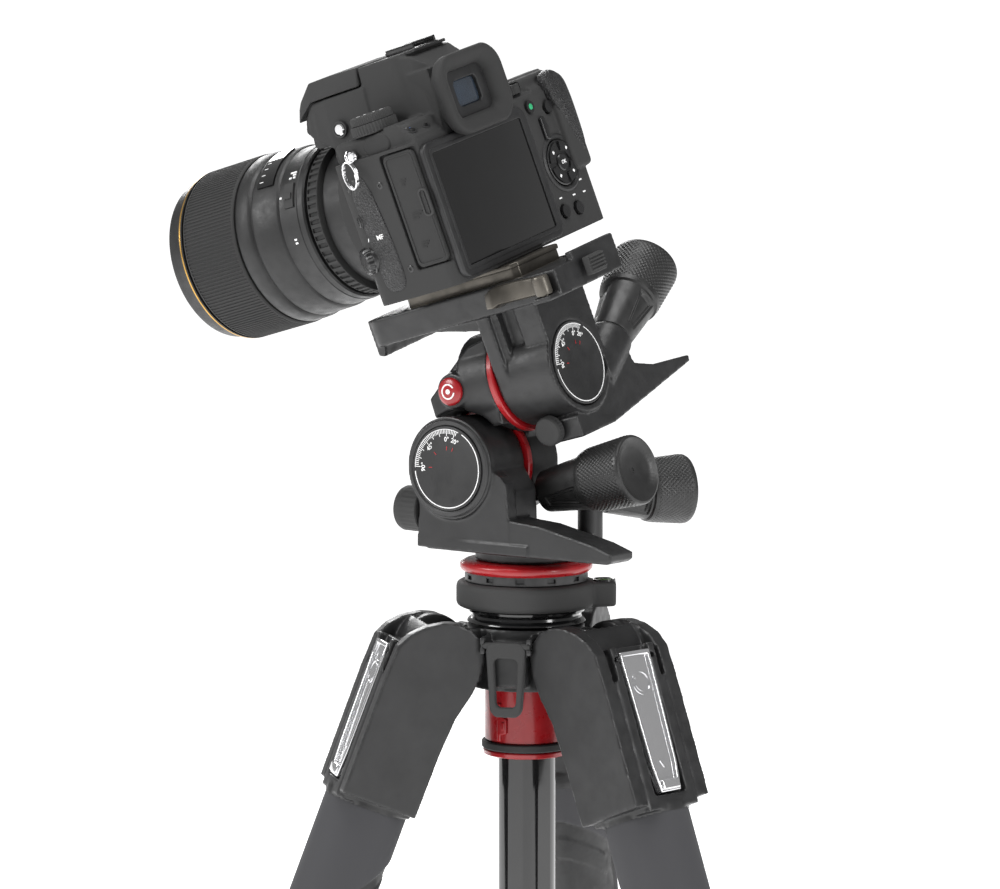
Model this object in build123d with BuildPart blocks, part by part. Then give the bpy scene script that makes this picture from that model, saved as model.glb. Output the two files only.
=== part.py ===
from build123d import *
from math import cos, radians, sin
import os

# A digital reflex camera on a three-way head and a three-leg tripod.
# Millimetres. The origin is on the floor under the centre column, +Z up.
# The lens points along -Y, the operator stands at +Y and the camera's left side is +X.
# The head and the camera are drawn level, with Z measured from the red pan ring,
# and are then tilted to the pose in which they rest.

os.makedirs("parts", exist_ok=True)

# ---------------------------------------------------------------- driving sizes
# clearances
running_fit = 0.05          # radial play of a pin or shaft in its bore
slide_gap = 0.4             # gap between parts that slide or turn past each other
free_gap = 1.0              # gap between parts that never meet

# stance of the legs
leg_spread = 21.0           # angle of each leg from the vertical, at rest
leg_azimuths = (81.3, 201.3, 321.3)
pivot_radius = 42.0         # column axis to leg pivot
pivot_drop = 37.0           # leg pivot below the pan ring
leg_length = 579.0          # leg pivot to the middle of the sole, retracted
leg_offset = 8.0            # leg tube axis outboard of the pivot

# pose of the head
forward_tilt = 15.0
side_tilt = 12.0

# shoulder casting
hub_radius = 27.5
hub_top = -25.0             # below the pan ring
hub_height = 29.0
lug_width = 22.0
lug_radius = 12.0
bolt_radius = 3.5
bolt_head_radius = 6.0
bolt_head_height = 1.6
screw_radius = 5.2
screw_place = 36.0          # column axis to the torque screws
screw_depth = 1.6

# centre column
column_radius = 14.0
column_bore_radius = 12.4
column_length = 372.0
column_cap_height = 6.0
sleeve_radius = 19.5
sleeve_length = 33.0
sleeve_ring_radius = 21.0
sleeve_ring_height = 4.0
collar_radius = 28.0
collar_height = 7.0
spigot_radius = 22.5
level_ring_radius = 33.0
level_ring_height = 12.4
level_tab_reach = 42.5
level_tab_width = 15.0
level_tab_azimuth = 126.0

# column clamp knob and strap loop
clamp_azimuth = 261.3
clamp_drop = 40.0
clamp_knob_radius = 11.0
clamp_knob_length = 12.0
clamp_stem_radius = 4.0
loop_azimuth = 21.3
loop_width = 19.0
loop_height = 35.0
loop_thickness = 4.0
loop_band = 4.0
loop_drop = 31.0            # hinge of the strap loop below the pan ring
loop_pin_radius = 1.8
ear_width = 2.5             # ears that carry the pin of the strap loop
loop_reach = hub_radius + 6 + free_gap      # column axis to the back of the loop

# leg: upper section
cheek_thickness = 7.0
cheek_radius = 16.0
cap_thickness = 2.7
cap_angle = 38.0            # end of the hinge cap above the outward direction
yoke_depth = 37.5           # radial depth of the yoke casting
yoke_length = 78.0          # pivot to the top of the grip
selector_length = 67.0
selector_width = 19.8
selector_thickness = 4.4
selector_pin_radius = 1.5
upper_tube_radius = 14.6
tube_wall = 1.4
grip_radius = 20.0
grip_length = 172.0
collar_length = 35.0
lock_wall = 2.6
tube_step = 2.2             # radius lost from one leg section to the next
lever_thickness = 3.8
lever_span = 96.0           # angle of the tube that a lock lever wraps
lever_pin_radius = 3.0
upper_tube_end = 475.0      # pivot to the lower end of the upper lock collar
inner_tube_start = 62.0     # pivot to the top end of the middle tube
foot_radius = 13.0
foot_length = 34.0

# head: pan base and rings
base_flange_radius = 29.0
base_flange_height = 4.0
base_spigot_radius = 21.0
pan_shaft_radius = 9.0
pan_shaft_height = 18.0
pan_ring_radius = 31.2
pan_ring_height = 5.4
ring_width = 3.4            # width of the red rings between the tilting parts
ring_radius = 25.5

# head: axes and castings
tilt_axis_y = -22.0
tilt_axis_z = 49.5
side_axis_z = 84.5
barrel_radius = 23.5
flange_radius = 25.0
axle_radius = 8.0
dial_radius = 20.0
dial_thickness = 1.6
pan_barrel_end = 31.5       # outer end of the front-tilt barrel, along X
side_barrel_end = 41.5      # outer end of the side-tilt barrel, along Y
side_ring_y = 6.0           # front face of the side-tilt ring
housing_floor = 10.4        # underside of the pan housing
housing_deck = 16.0         # top of its floor behind the barrel
housing_front = -40.0
housing_rear = 21.0
tail_reach = 68.0
pan_post_reach = 33.0       # pan axis to the post of the pan handle
pan_post_radius = 5.5
pan_handle_z = 35.0

# handles and knobs
handle_length = 54.0
pan_handle_length = 43.0
handle_root_radius = 10.0
handle_end_radius = 16.5
handle_stem_radius = 3.5
knob_radius = 8.6
knob_length = 14.0
knob_stem_radius = 3.0
side_knob_radius = 7.0
side_knob_length = 5.4

# quick release
platform_width = 54.0
platform_front = -50.0
platform_rear = 64.0
platform_floor = 119.0
platform_top = 132.0
plate_width = 43.0
plate_front = -30.0
plate_rear = 40.0
plate_seat = 126.5
plate_top = 139.0
lever_pivot_y = 58.0
lever_pivot_x = 31.5        # platform middle to the pivot of the release lever
release_pin_radius = 2.0    # pins of the release lever and its catch
lever_low = 122.0
lever_high = 131.0
catch_z = 127.0

# camera
body_left = 51.0            # +X face
body_right = -79.0
body_front = -20.0
body_rear = 30.0
body_height = 68.0
cover_height = 9.0
lens_x = 2.0
lens_rise = 40.0            # lens axis above the camera's base
mount_radius = 37.0
mount_length = 12.0
lens_radius = 42.0
lens_rim = 2.5              # radius lost from the focus ring to the barrel and the front rim
lens_length = 106.0
ring_gap = 0.5
screen_width = 75.0
screen_height = 54.0
prism_top = 107.0           # top of the prism housing above the camera's base
eyecup_width = 50.0
eyecup_height = 34.0
eyecup_depth = 8.0
finder_width = 24.0         # opening of the eyecup
finder_height = 18.0
flash_hinge_y = -8.0

# ---------------------------------------------------------------- derived places
pivot_height = leg_length * cos(radians(leg_spread)) - leg_offset * sin(radians(leg_spread))
ring_height = pivot_height + pivot_drop
pan_place = Location((0, 0, ring_height))
tilt_place = (
    pan_place
    * Location((0, tilt_axis_y, tilt_axis_z))
    * Rotation(forward_tilt, 0, 0)
    * Location((0, -tilt_axis_y, -tilt_axis_z))
)
head_place = (
    tilt_place * Location((0, 0, side_axis_z)) * Rotation(0, side_tilt, 0) * Location((0, 0, -side_axis_z))
)


def leg_place(azimuth):
    """Frame of a leg: origin at its pivot, X outboard, Y along the pivot, Z up the leg."""
    pivot = (pivot_radius * cos(radians(azimuth)), pivot_radius * sin(radians(azimuth)), pivot_height)
    return Location(pivot) * Rotation(0, 0, azimuth) * Rotation(0, -leg_spread, 0)


def finish(builder, node, place=Location()):
    """Moves a finished piece to its place, names it and writes it."""
    builder.part.label = node
    piece = builder.part.moved(place)
    piece.label = node
    export_step(piece, f"parts/{node}.step")


def block(x_span, y_span, z_span, mode=Mode.ADD):
    """A box between two limits along each axis."""
    spans = (x_span, y_span, z_span)
    with Locations(tuple((low + high) / 2 for low, high in spans)):
        Box(*(high - low for low, high in spans), mode=mode)


def bar(plane, radius, start, end, mode=Mode.ADD):
    """A round bar along the normal of a plane, from start to end above it."""
    with BuildSketch(plane.offset(start)) as outline:
        Circle(radius)
    extrude(outline.sketch, amount=end - start, mode=mode)


def ring(plane, outer, inner, start, end, mode=Mode.ADD):
    """A tube along the normal of a plane."""
    with BuildSketch(plane.offset(start)) as outline:
        Circle(outer)
        Circle(inner, mode=Mode.SUBTRACT)
    extrude(outline.sketch, amount=end - start, mode=mode)


def along_x(y, z):
    """A plane whose normal is +X, centred on a point of the YZ plane."""
    return Plane(origin=(0, y, z), x_dir=(0, 1, 0), z_dir=(1, 0, 0))


def along_y(x, z):
    """A plane whose normal is +Y, centred on a point of the XZ plane."""
    return Plane(origin=(x, 0, z), x_dir=(1, 0, 0), z_dir=(0, 1, 0))


def along_z(x, y):
    """A plane whose normal is +Z, centred on a point of the XY plane."""
    return Plane(origin=(x, y, 0), x_dir=(1, 0, 0), z_dir=(0, 0, 1))


def outward(azimuth, z, reach=0):
    """A plane that faces away from the column axis, at a height and a reach from the axis."""
    direction = (cos(radians(azimuth)), sin(radians(azimuth)), 0)
    tangent = (-direction[1], direction[0], 0)
    return Plane(origin=(direction[0] * reach, direction[1] * reach, z), x_dir=tangent, z_dir=direction)


# ================================================================ tripod shoulder
with BuildPart() as shoulder:
    bar(along_z(0, 0), hub_radius, hub_top - hub_height, hub_top)
    with PolarLocations(0, 3, start_angle=leg_azimuths[0]):
        with Locations((pivot_radius / 2, 0, -pivot_drop)):
            Box(pivot_radius, lug_width, 2 * lug_radius)
        with Locations((pivot_radius, 0, -pivot_drop)):
            Cylinder(lug_radius, lug_width, rotation=(90, 0, 0))
    bar(outward(clamp_azimuth, -clamp_drop), clamp_knob_radius - 2, 0, hub_radius + 8)
    with PolarLocations(0, 1, start_angle=loop_azimuth):
        with Locations((hub_radius / 2 + 3, 0, -loop_drop - 10)):
            Box(hub_radius + 6, loop_width - 1, 20)
    with PolarLocations(0, 1, start_angle=loop_azimuth):
        for side in (-1, 1):
            ear_middle = side * (loop_width / 2 + slide_gap + ear_width / 2)
            with Locations(((hub_radius + loop_reach + loop_thickness) / 2 - 6, ear_middle, -loop_drop)):
                Box(loop_reach + loop_thickness - hub_radius + 12, ear_width, 8)
            with Locations((loop_reach + loop_thickness / 2, ear_middle, -loop_drop)):
                Cylinder(loop_pin_radius + running_fit, ear_width, rotation=(90, 0, 0), mode=Mode.SUBTRACT)
    # bores: column, leg bolts, torque screws and clamp screw
    bar(along_z(0, 0), column_radius + slide_gap, hub_top - hub_height, hub_top, Mode.SUBTRACT)
    with PolarLocations(0, 3, start_angle=leg_azimuths[0]):
        with Locations((pivot_radius, 0, -pivot_drop)):
            Cylinder(bolt_radius, lug_width, rotation=(90, 0, 0), mode=Mode.SUBTRACT)
        with Locations((screw_place, 0, hub_top - screw_depth / 2)):
            Cylinder(screw_radius, screw_depth, mode=Mode.SUBTRACT)
    bar(
        outward(clamp_azimuth, -clamp_drop), clamp_stem_radius + running_fit,
        column_radius + slide_gap, hub_radius + 8, Mode.SUBTRACT,
    )
finish(shoulder, "shoulder_casting", pan_place)

with BuildPart() as bolts:
    half_length = lug_width / 2 + slide_gap + cheek_thickness
    with PolarLocations(0, 3, start_angle=leg_azimuths[0]):
        with Locations((pivot_radius, 0, -pivot_drop)):
            Cylinder(bolt_radius, 2 * (half_length + slide_gap), rotation=(90, 0, 0))
        for side in (-1, 1):
            middle = side * (half_length + slide_gap + bolt_head_height / 2)
            with Locations((pivot_radius, middle, -pivot_drop)):
                Cylinder(bolt_head_radius, bolt_head_height, rotation=(90, 0, 0))
finish(bolts, "pivot_bolts", pan_place)

with BuildPart() as screws:
    with PolarLocations(screw_place, 3, start_angle=leg_azimuths[0]):
        with Locations((0, 0, hub_top - screw_depth / 2)):
            Cylinder(screw_radius, screw_depth)
    with BuildSketch(Plane.XY.offset(hub_top)):
        with PolarLocations(screw_place, 3, start_angle=leg_azimuths[0]):
            RegularPolygon(screw_radius * 0.55, 6)
    extrude(amount=-screw_depth / 2, mode=Mode.SUBTRACT)
finish(screws, "shoulder_screws", pan_place)

sleeve_top = hub_top - hub_height
with BuildPart() as sleeve:
    bore = column_radius + slide_gap
    ring(along_z(0, 0), sleeve_radius, bore, sleeve_top - sleeve_length, sleeve_top)
    ring_low = sleeve_top - sleeve_length + 3
    ring(along_z(0, 0), sleeve_ring_radius, bore, ring_low, ring_low + sleeve_ring_height)
finish(sleeve, "column_sleeve", pan_place)

with BuildPart() as clamp_knob:
    knob_start = hub_radius + 8 + slide_gap
    face = outward(clamp_azimuth, -clamp_drop)
    bar(face, clamp_knob_radius, knob_start, knob_start + clamp_knob_length)
    chamfer(clamp_knob.edges().filter_by(GeomType.CIRCLE), 1.2)
    bar(face, clamp_stem_radius, column_radius + free_gap, knob_start)
finish(clamp_knob, "clamp_knob", pan_place)

loop_plane = outward(loop_azimuth, -loop_drop, loop_reach)
with BuildPart() as loop:
    with BuildSketch(loop_plane):
        with Locations((0, -loop_height / 2 + loop_pin_radius)):
            RectangleRounded(loop_width, loop_height, loop_band)
            Rectangle(loop_width - 2 * loop_band, loop_height - 3 * loop_band, mode=Mode.SUBTRACT)
    extrude(amount=loop_thickness)
    with PolarLocations(0, 1, start_angle=loop_azimuth):
        with Locations((loop_reach + loop_thickness / 2, 0, -loop_drop)):
            Cylinder(loop_pin_radius, loop_width + 2 * (slide_gap + ear_width), rotation=(90, 0, 0))
finish(loop, "accessory_loop", pan_place)

# ================================================================ centre column
with BuildPart() as column:
    column_top = hub_top + free_gap
    ring(along_z(0, 0), column_radius, column_bore_radius, column_top - column_length, column_top)
    bar(along_z(0, 0), column_radius, column_top - column_length, column_top - column_length + column_cap_height)
finish(column, "column_tube", pan_place)

disc_top = -base_flange_height
with BuildPart() as top_disc:
    bar(along_z(0, 0), collar_radius, column_top, column_top + collar_height)
    chamfer(top_disc.edges().filter_by(GeomType.CIRCLE), 0.8)
    bar(along_z(0, 0), spigot_radius, column_top + collar_height, disc_top)
finish(top_disc, "column_top_disc", pan_place)

with BuildPart() as level_ring:
    level_low = disc_top - slide_gap - level_ring_height
    bar(along_z(0, 0), level_ring_radius, level_low, level_low + level_ring_height)
    fillet(level_ring.edges().filter_by(GeomType.CIRCLE), 2.5)
    with PolarLocations(0, 1, start_angle=level_tab_azimuth):
        with Locations((level_tab_reach / 2, 0, level_low + level_ring_height / 2)):
            Box(level_tab_reach, level_tab_width, level_ring_height)
    fillet(level_ring.edges().filter_by(Axis.Z).sort_by_distance((0, 0, 0))[-2:], 3)
    bar(along_z(0, 0), spigot_radius + slide_gap, level_low, level_low + level_ring_height, Mode.SUBTRACT)
finish(level_ring, "level_ring", pan_place)

# ================================================================ legs
# Drawn in the leg's own frame: origin at the pivot, X outboard, Y along the pivot, Z up the leg.
cheek_inner = lug_width / 2 + slide_gap
cheek_outer = cheek_inner + cheek_thickness
cap_inner = cheek_radius - 0.7
cap_outer = cap_inner + cap_thickness
yoke_back = -10.0
yoke_face = yoke_back + yoke_depth
pocket_floor = yoke_face - selector_thickness + 0.4
selector_start = 4.0                          # pivot to the top of the selector
selector_pin = (pocket_floor + slide_gap + selector_thickness / 2, -selector_start - 3.0)
tube_axis = along_z(leg_offset, 0)
middle_tube_radius = upper_tube_radius - tube_step
lower_tube_radius = middle_tube_radius - tube_step
middle_tube_end = upper_tube_end + collar_length + 2
foot_start = leg_length - foot_length


def lock_collar(tube_radius, end):
    """The clamp at the end of a tube, with the ears that carry its lock lever."""
    outer = tube_radius + lock_wall
    bar(tube_axis, outer, -end, -end + collar_length)
    for low in (-end, -end + collar_length - 4):
        bar(tube_axis, outer + lever_thickness + 1.5, low, low + 4)


def lock_lever(tube_radius, end):
    """The lever that wraps the clamp, with its round hinge at one end."""
    inner = tube_radius + lock_wall + slide_gap
    outer = inner + lever_thickness
    low = -end + 4 + slide_gap
    high = -end + collar_length - 4 - slide_gap
    half = radians(lever_span / 2)
    middle = (inner + outer) / 2
    hinge = (leg_offset + middle * cos(half), middle * sin(half))
    with BuildPart() as lever:
        with BuildSketch(tube_axis.offset(low)):
            Circle(outer)
            Circle(inner, mode=Mode.SUBTRACT)
            with BuildLine():
                reach = 3 * outer
                Polyline(
                    (0, 0), (reach * cos(half), -reach * sin(half)),
                    (reach * cos(half), reach * sin(half)), (0, 0),
                )
            make_face(mode=Mode.INTERSECT)
        extrude(amount=high - low)
        bar(along_z(*hinge), lever_pin_radius, low, high)
    return lever


with BuildPart() as upper:
    # the casting below the lug, cheeks on both sides of it and the cap over the hinge
    block((yoke_back, yoke_face), (-cheek_outer, cheek_outer), (-yoke_length, -cheek_radius - free_gap))
    fillet(upper.edges().filter_by(Axis.Z), 4)
    for side in (-1, 1):
        cheek_low = cheek_inner if side > 0 else -cheek_outer
        bar(along_y(0, 0), cheek_radius, cheek_low, cheek_low + cheek_thickness)
        block(
            (yoke_back + 4, yoke_face - 4), (cheek_low, cheek_low + cheek_thickness), (-yoke_length / 2, -selector_start)
        )
    block((cap_inner, yoke_face), (-cheek_outer + 4, cheek_outer - 4), (-yoke_length / 2, -selector_start + 3))
    with BuildSketch(Plane(origin=(0, -cheek_outer, 0), x_dir=(1, 0, 0), z_dir=(0, 1, 0))):
        Circle(cap_outer)
        Circle(cap_inner, mode=Mode.SUBTRACT)
        with BuildLine():
            Polyline(
                (0, 0), (60 * cos(radians(cap_angle)), -60 * sin(radians(cap_angle))), (60, 30), (20, 60), (0, 0)
            )
        make_face(mode=Mode.INTERSECT)
    extrude(amount=2 * cheek_outer)
    # pocket of the angle selector
    pocket_half = selector_width / 2 + slide_gap
    pocket_low = -selector_start - selector_length - slide_gap
    block(
        (pocket_floor, yoke_face + 1), (-pocket_half, pocket_half), (pocket_low, -selector_start + 4), Mode.SUBTRACT
    )
    bar(
        along_y(*selector_pin), selector_pin_radius + running_fit, -pocket_half - 3, pocket_half + 3, Mode.SUBTRACT
    )
    bar(along_y(0, 0), bolt_radius + running_fit, -cheek_outer, cheek_outer, Mode.SUBTRACT)
    # upper tube and its lock collar
    bar(tube_axis, upper_tube_radius, -upper_tube_end, -yoke_length)
    lock_collar(upper_tube_radius, upper_tube_end)
    tube_inner = upper_tube_radius - tube_wall
    bar(tube_axis, tube_inner, -upper_tube_end, -inner_tube_start + 2, Mode.SUBTRACT)
    half = radians(lever_span / 2)
    middle = upper_tube_radius + lock_wall + slide_gap + lever_thickness / 2
    bar(
        along_z(leg_offset + middle * cos(half), middle * sin(half)), lever_pin_radius + slide_gap,
        -upper_tube_end + 4, -upper_tube_end + collar_length - 4, Mode.SUBTRACT,
    )

with BuildPart() as grip:
    ring(tube_axis, grip_radius, upper_tube_radius, -yoke_length - grip_length, -yoke_length)
    fillet(grip.edges().filter_by(GeomType.CIRCLE).group_by(Axis.Z)[0].sort_by(SortBy.RADIUS)[-1:], 2)

with BuildPart() as selector:
    top = -selector_start
    with BuildSketch(Plane(origin=(pocket_floor + slide_gap, 0, 0), x_dir=(0, 1, 0), z_dir=(1, 0, 0))):
        with BuildLine():
            Polyline(
                (-selector_width / 2, top), (selector_width / 2, top),
                (selector_width / 2 - 1.6, top - selector_length + 3), (selector_width / 2 - 4, top - selector_length),
                (-selector_width / 2 + 4, top - selector_length), (-selector_width / 2 + 1.6, top - selector_length + 3),
                (-selector_width / 2, top),
            )
        make_face()
    extrude(amount=selector_thickness)
    chamfer(selector.faces().sort_by(Axis.X)[-1].edges(), 1)
    bar(along_y(*selector_pin), selector_pin_radius, -pocket_half - 2.5, pocket_half + 2.5)

with BuildPart() as middle_section:
    ring(
        tube_axis, middle_tube_radius, middle_tube_radius - tube_wall + 0.4,
        -middle_tube_end + 1, -inner_tube_start,
    )
    lock_collar(middle_tube_radius, middle_tube_end)
    tube_inner = middle_tube_radius - tube_wall + 0.4
    bar(tube_axis, tube_inner, -middle_tube_end, -middle_tube_end + collar_length, Mode.SUBTRACT)
    middle = middle_tube_radius + lock_wall + slide_gap + lever_thickness / 2
    bar(
        along_z(leg_offset + middle * cos(half), middle * sin(half)), lever_pin_radius + slide_gap,
        -middle_tube_end + 4, -middle_tube_end + collar_length - 4, Mode.SUBTRACT,
    )

with BuildPart() as lower_section:
    bar(tube_axis, lower_tube_radius, -foot_start - 2, -inner_tube_start - 4)
    bar(tube_axis, foot_radius, -leg_length - 2 * foot_radius, -foot_start)
    floor_up = (sin(radians(leg_spread)), 0, cos(radians(leg_spread)))
    split(bisect_by=Plane(origin=(leg_offset, 0, -leg_length), z_dir=floor_up), keep=Keep.TOP)
    bar(tube_axis, lower_tube_radius - tube_wall, -foot_start, -inner_tube_start - 4, Mode.SUBTRACT)

for number, azimuth in enumerate(leg_azimuths, 1):
    place = leg_place(azimuth)
    finish(upper, f"leg_{number}_upper_section", place)
    finish(grip, f"leg_{number}_grip", place)
    finish(selector, f"leg_{number}_selector", place)
    finish(lock_lever(upper_tube_radius, upper_tube_end), f"leg_{number}_upper_lever", place)
    finish(middle_section, f"leg_{number}_middle_section", place)
    finish(lock_lever(middle_tube_radius, middle_tube_end), f"leg_{number}_lower_lever", place)
    finish(lower_section, f"leg_{number}_lower_section", place)

# ================================================================ head: pan base and housing
housing_start = -0.8 + ring_width + slide_gap     # inner end of the front-tilt barrel, along X
arm_end = -0.8                                    # outer face of the arm's lower flange, along X
arm_start = -22.0
tilt_axis = along_x(tilt_axis_y, tilt_axis_z)
side_axis = along_y(0, side_axis_z)

with BuildPart() as pan_base:
    bar(along_z(0, 0), base_flange_radius, -base_flange_height, 0)
    with PolarLocations(base_flange_radius, 12):
        with Locations((0, 0, -base_flange_height / 2)):
            Box(2.4, 4, base_flange_height / 2, mode=Mode.SUBTRACT)
    bar(along_z(0, 0), base_spigot_radius, 0, pan_ring_height)
    bar(along_z(0, 0), pan_shaft_radius, pan_ring_height, pan_shaft_height - 1.5)
finish(pan_base, "pan_base", pan_place)

with BuildPart() as pan_ring:
    bar(along_z(0, 0), pan_ring_radius, 0, pan_ring_height)
    chamfer(pan_ring.edges().filter_by(GeomType.CIRCLE), 1.2)
    bar(along_z(0, 0), base_spigot_radius, 0, pan_ring_height, Mode.SUBTRACT)
finish(pan_ring, "pan_ring", pan_place)

pan_azimuth = 149.5                               # direction of the pan handle
side_wall_x = 28.0
handle_wall_x = 9.0                               # keeps the housing clear of the front-tilt handle
knob_x = 20.0
tilt_knob_z = 27.7
pan_knob_start = -42.5
with BuildPart() as housing:
    block((-24, side_wall_x), (housing_front, 24), (housing_floor, housing_deck - 0.5))
    fillet(housing.edges().filter_by(Axis.Z), 10)
    block((housing_start, side_wall_x), (housing_front + 2, -8), (housing_floor, tilt_axis_z))
    block((handle_wall_x, side_wall_x), (-10, housing_rear), (housing_floor, tilt_axis_z))
    fillet(housing.edges().filter_by(Axis.Z).group_by(Axis.X)[-1], 3)
    bar(tilt_axis, barrel_radius, housing_start, pan_barrel_end)
    bar(along_z(0, 0), 24, pan_ring_height + slide_gap, housing_floor)
    bar(along_z(0, 0), 13, housing_floor, pan_shaft_height)
    with BuildSketch(Plane.YZ.offset(11)):
        with BuildLine():
            Polyline(
                (18, housing_floor), (tail_reach - 2, housing_floor), (tail_reach, 12), (tail_reach, 15.5),
                (58, 19), (26, 27), (18, 27), (18, housing_floor),
            )
        make_face()
    extrude(amount=side_wall_x - 11)
    post = along_z(pan_post_reach * cos(radians(pan_azimuth)), pan_post_reach * sin(radians(pan_azimuth)))
    block((-30, -18), (0, 14), (housing_floor, housing_deck - 0.5))
    bar(post, pan_post_radius + 0.5, housing_floor, pan_handle_z + 6.5)
    # axle of the front tilt, bores of the pan shaft, pan handle and friction knob
    bar(tilt_axis, axle_radius, arm_start + 2, housing_start)
    bar(
        along_z(0, 0), pan_shaft_radius + running_fit, pan_ring_height + slide_gap,
        pan_shaft_height - 1, Mode.SUBTRACT,
    )
    pan_screw = outward(pan_azimuth, pan_handle_z)
    bar(pan_screw, handle_stem_radius + running_fit, pan_post_reach - 2, 60, Mode.SUBTRACT)
    bar(
        along_y(knob_x, tilt_knob_z), knob_stem_radius + running_fit, pan_knob_start - 4,
        housing_front + 12, Mode.SUBTRACT,
    )
finish(housing, "pan_housing", pan_place)

with BuildPart() as tilt_dial:
    bar(tilt_axis, dial_radius, pan_barrel_end, pan_barrel_end + dial_thickness)
    chamfer(tilt_dial.faces().sort_by(Axis.X)[-1].edges(), 0.5)
finish(tilt_dial, "tilt_dial", pan_place)


def lock_handle(stem_length, length=handle_length):
    """A conical lock handle along +Z with its screw stem below the origin."""
    with BuildPart() as handle:
        with BuildSketch(Plane.XZ):
            with BuildLine():
                Polyline(
                    (0, 0), (handle_root_radius - 1, 0), (handle_root_radius, 1.5),
                    (handle_end_radius - 2.6, length * 0.5), (handle_end_radius - 1.6, length * 0.52),
                    (handle_end_radius, length - 3), (handle_end_radius - 1, length),
                    (handle_end_radius - 2.5, length), (handle_end_radius - 4, length - 2),
                    (0, length - 3), (0, 0),
                )
            make_face()
        revolve(axis=Axis.Z)
        bar(along_z(0, 0), handle_stem_radius, -stem_length, 0)
    return handle


def friction_knob():
    """A friction knob along +Z with its stem below the origin."""
    with BuildPart() as knob:
        bar(along_z(0, 0), knob_radius, 0, knob_length)
        fillet(knob.faces().sort_by(Axis.Z)[-1].edges(), 1.6)
        bar(along_z(0, 0), knob_stem_radius, -8, 0)
    return knob


pan_handle_start = pan_post_reach + pan_post_radius + 0.5 + slide_gap
pan_handle_place = pan_place * outward(pan_azimuth, pan_handle_z, pan_handle_start).location
finish(lock_handle(7, pan_handle_length), "pan_handle", pan_handle_place)
tilt_knob_plane = Plane(origin=(knob_x, pan_knob_start, tilt_knob_z), x_dir=(1, 0, 0), z_dir=(0, -1, 0))
finish(friction_knob(), "tilt_friction_knob", pan_place * tilt_knob_plane.location)

# ================================================================ head: tilt arm
tilt_handle_x = -8.0
tilt_handle_z = 30.0
tilt_handle_start = 1.8
with BuildPart() as arm:
    with BuildSketch(Plane.YZ.offset(arm_start)):
        with BuildLine():
            Polyline(
                (-46, 56), (-43, 72), (-32, 85), (-16, 96), (-5, 103), (side_ring_y, 105),
                (side_ring_y, 62), (-2, 52), (-46, 56),
            )
        make_face()
    extrude(amount=arm_end - arm_start)
    with BuildSketch(Plane.YZ.offset(arm_end)):
        with BuildLine():
            Polyline(
                (-32, 74), (-33, 84), (-16, 96), (-5, 103), (side_ring_y, 105), (side_ring_y, 64), (-10, 64),
                (-32, 74),
            )
        make_face()
        with Locations((tilt_axis_y, tilt_axis_z)):
            Circle(ring_radius + free_gap, mode=Mode.SUBTRACT)
    extrude(amount=21 - arm_end)
    fillet(arm.faces().sort_by(Axis.X)[-1].edges(), 1.5)
    bar(tilt_axis, flange_radius, arm_start, arm_end)
    bar(side_axis, flange_radius, -12, side_ring_y)
    bar(tilt_axis, ring_radius + free_gap, arm_end, 40, Mode.SUBTRACT)
    bar(side_axis, axle_radius, side_ring_y, side_barrel_end - 3.6)
    bar(tilt_axis, axle_radius + running_fit, arm_start, arm_end, Mode.SUBTRACT)
    bar(
        along_y(tilt_handle_x, tilt_handle_z), handle_stem_radius + running_fit, tilt_handle_start - 10,
        tilt_handle_start, Mode.SUBTRACT,
    )
finish(arm, "tilt_arm", tilt_place)

with BuildPart() as rings:
    ring(tilt_axis, ring_radius, axle_radius + 1, arm_end, arm_end + ring_width)
    ring(side_axis, ring_radius, axle_radius, side_ring_y, side_ring_y + ring_width)
finish(rings, "tilt_rings", tilt_place)

handle_plane = Plane(
    origin=(tilt_handle_x, tilt_handle_start, tilt_handle_z), x_dir=(1, 0, 0), z_dir=(0, 1, 0)
)
finish(lock_handle(8), "tilt_handle", tilt_place * handle_plane.location)

with BuildPart() as side_dial:
    bar(side_axis, dial_radius, side_barrel_end - 3.6, side_barrel_end + 0.4)
    chamfer(side_dial.faces().sort_by(Axis.Y)[-1].edges(), 0.5)
finish(side_dial, "side_dial", tilt_place)

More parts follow.
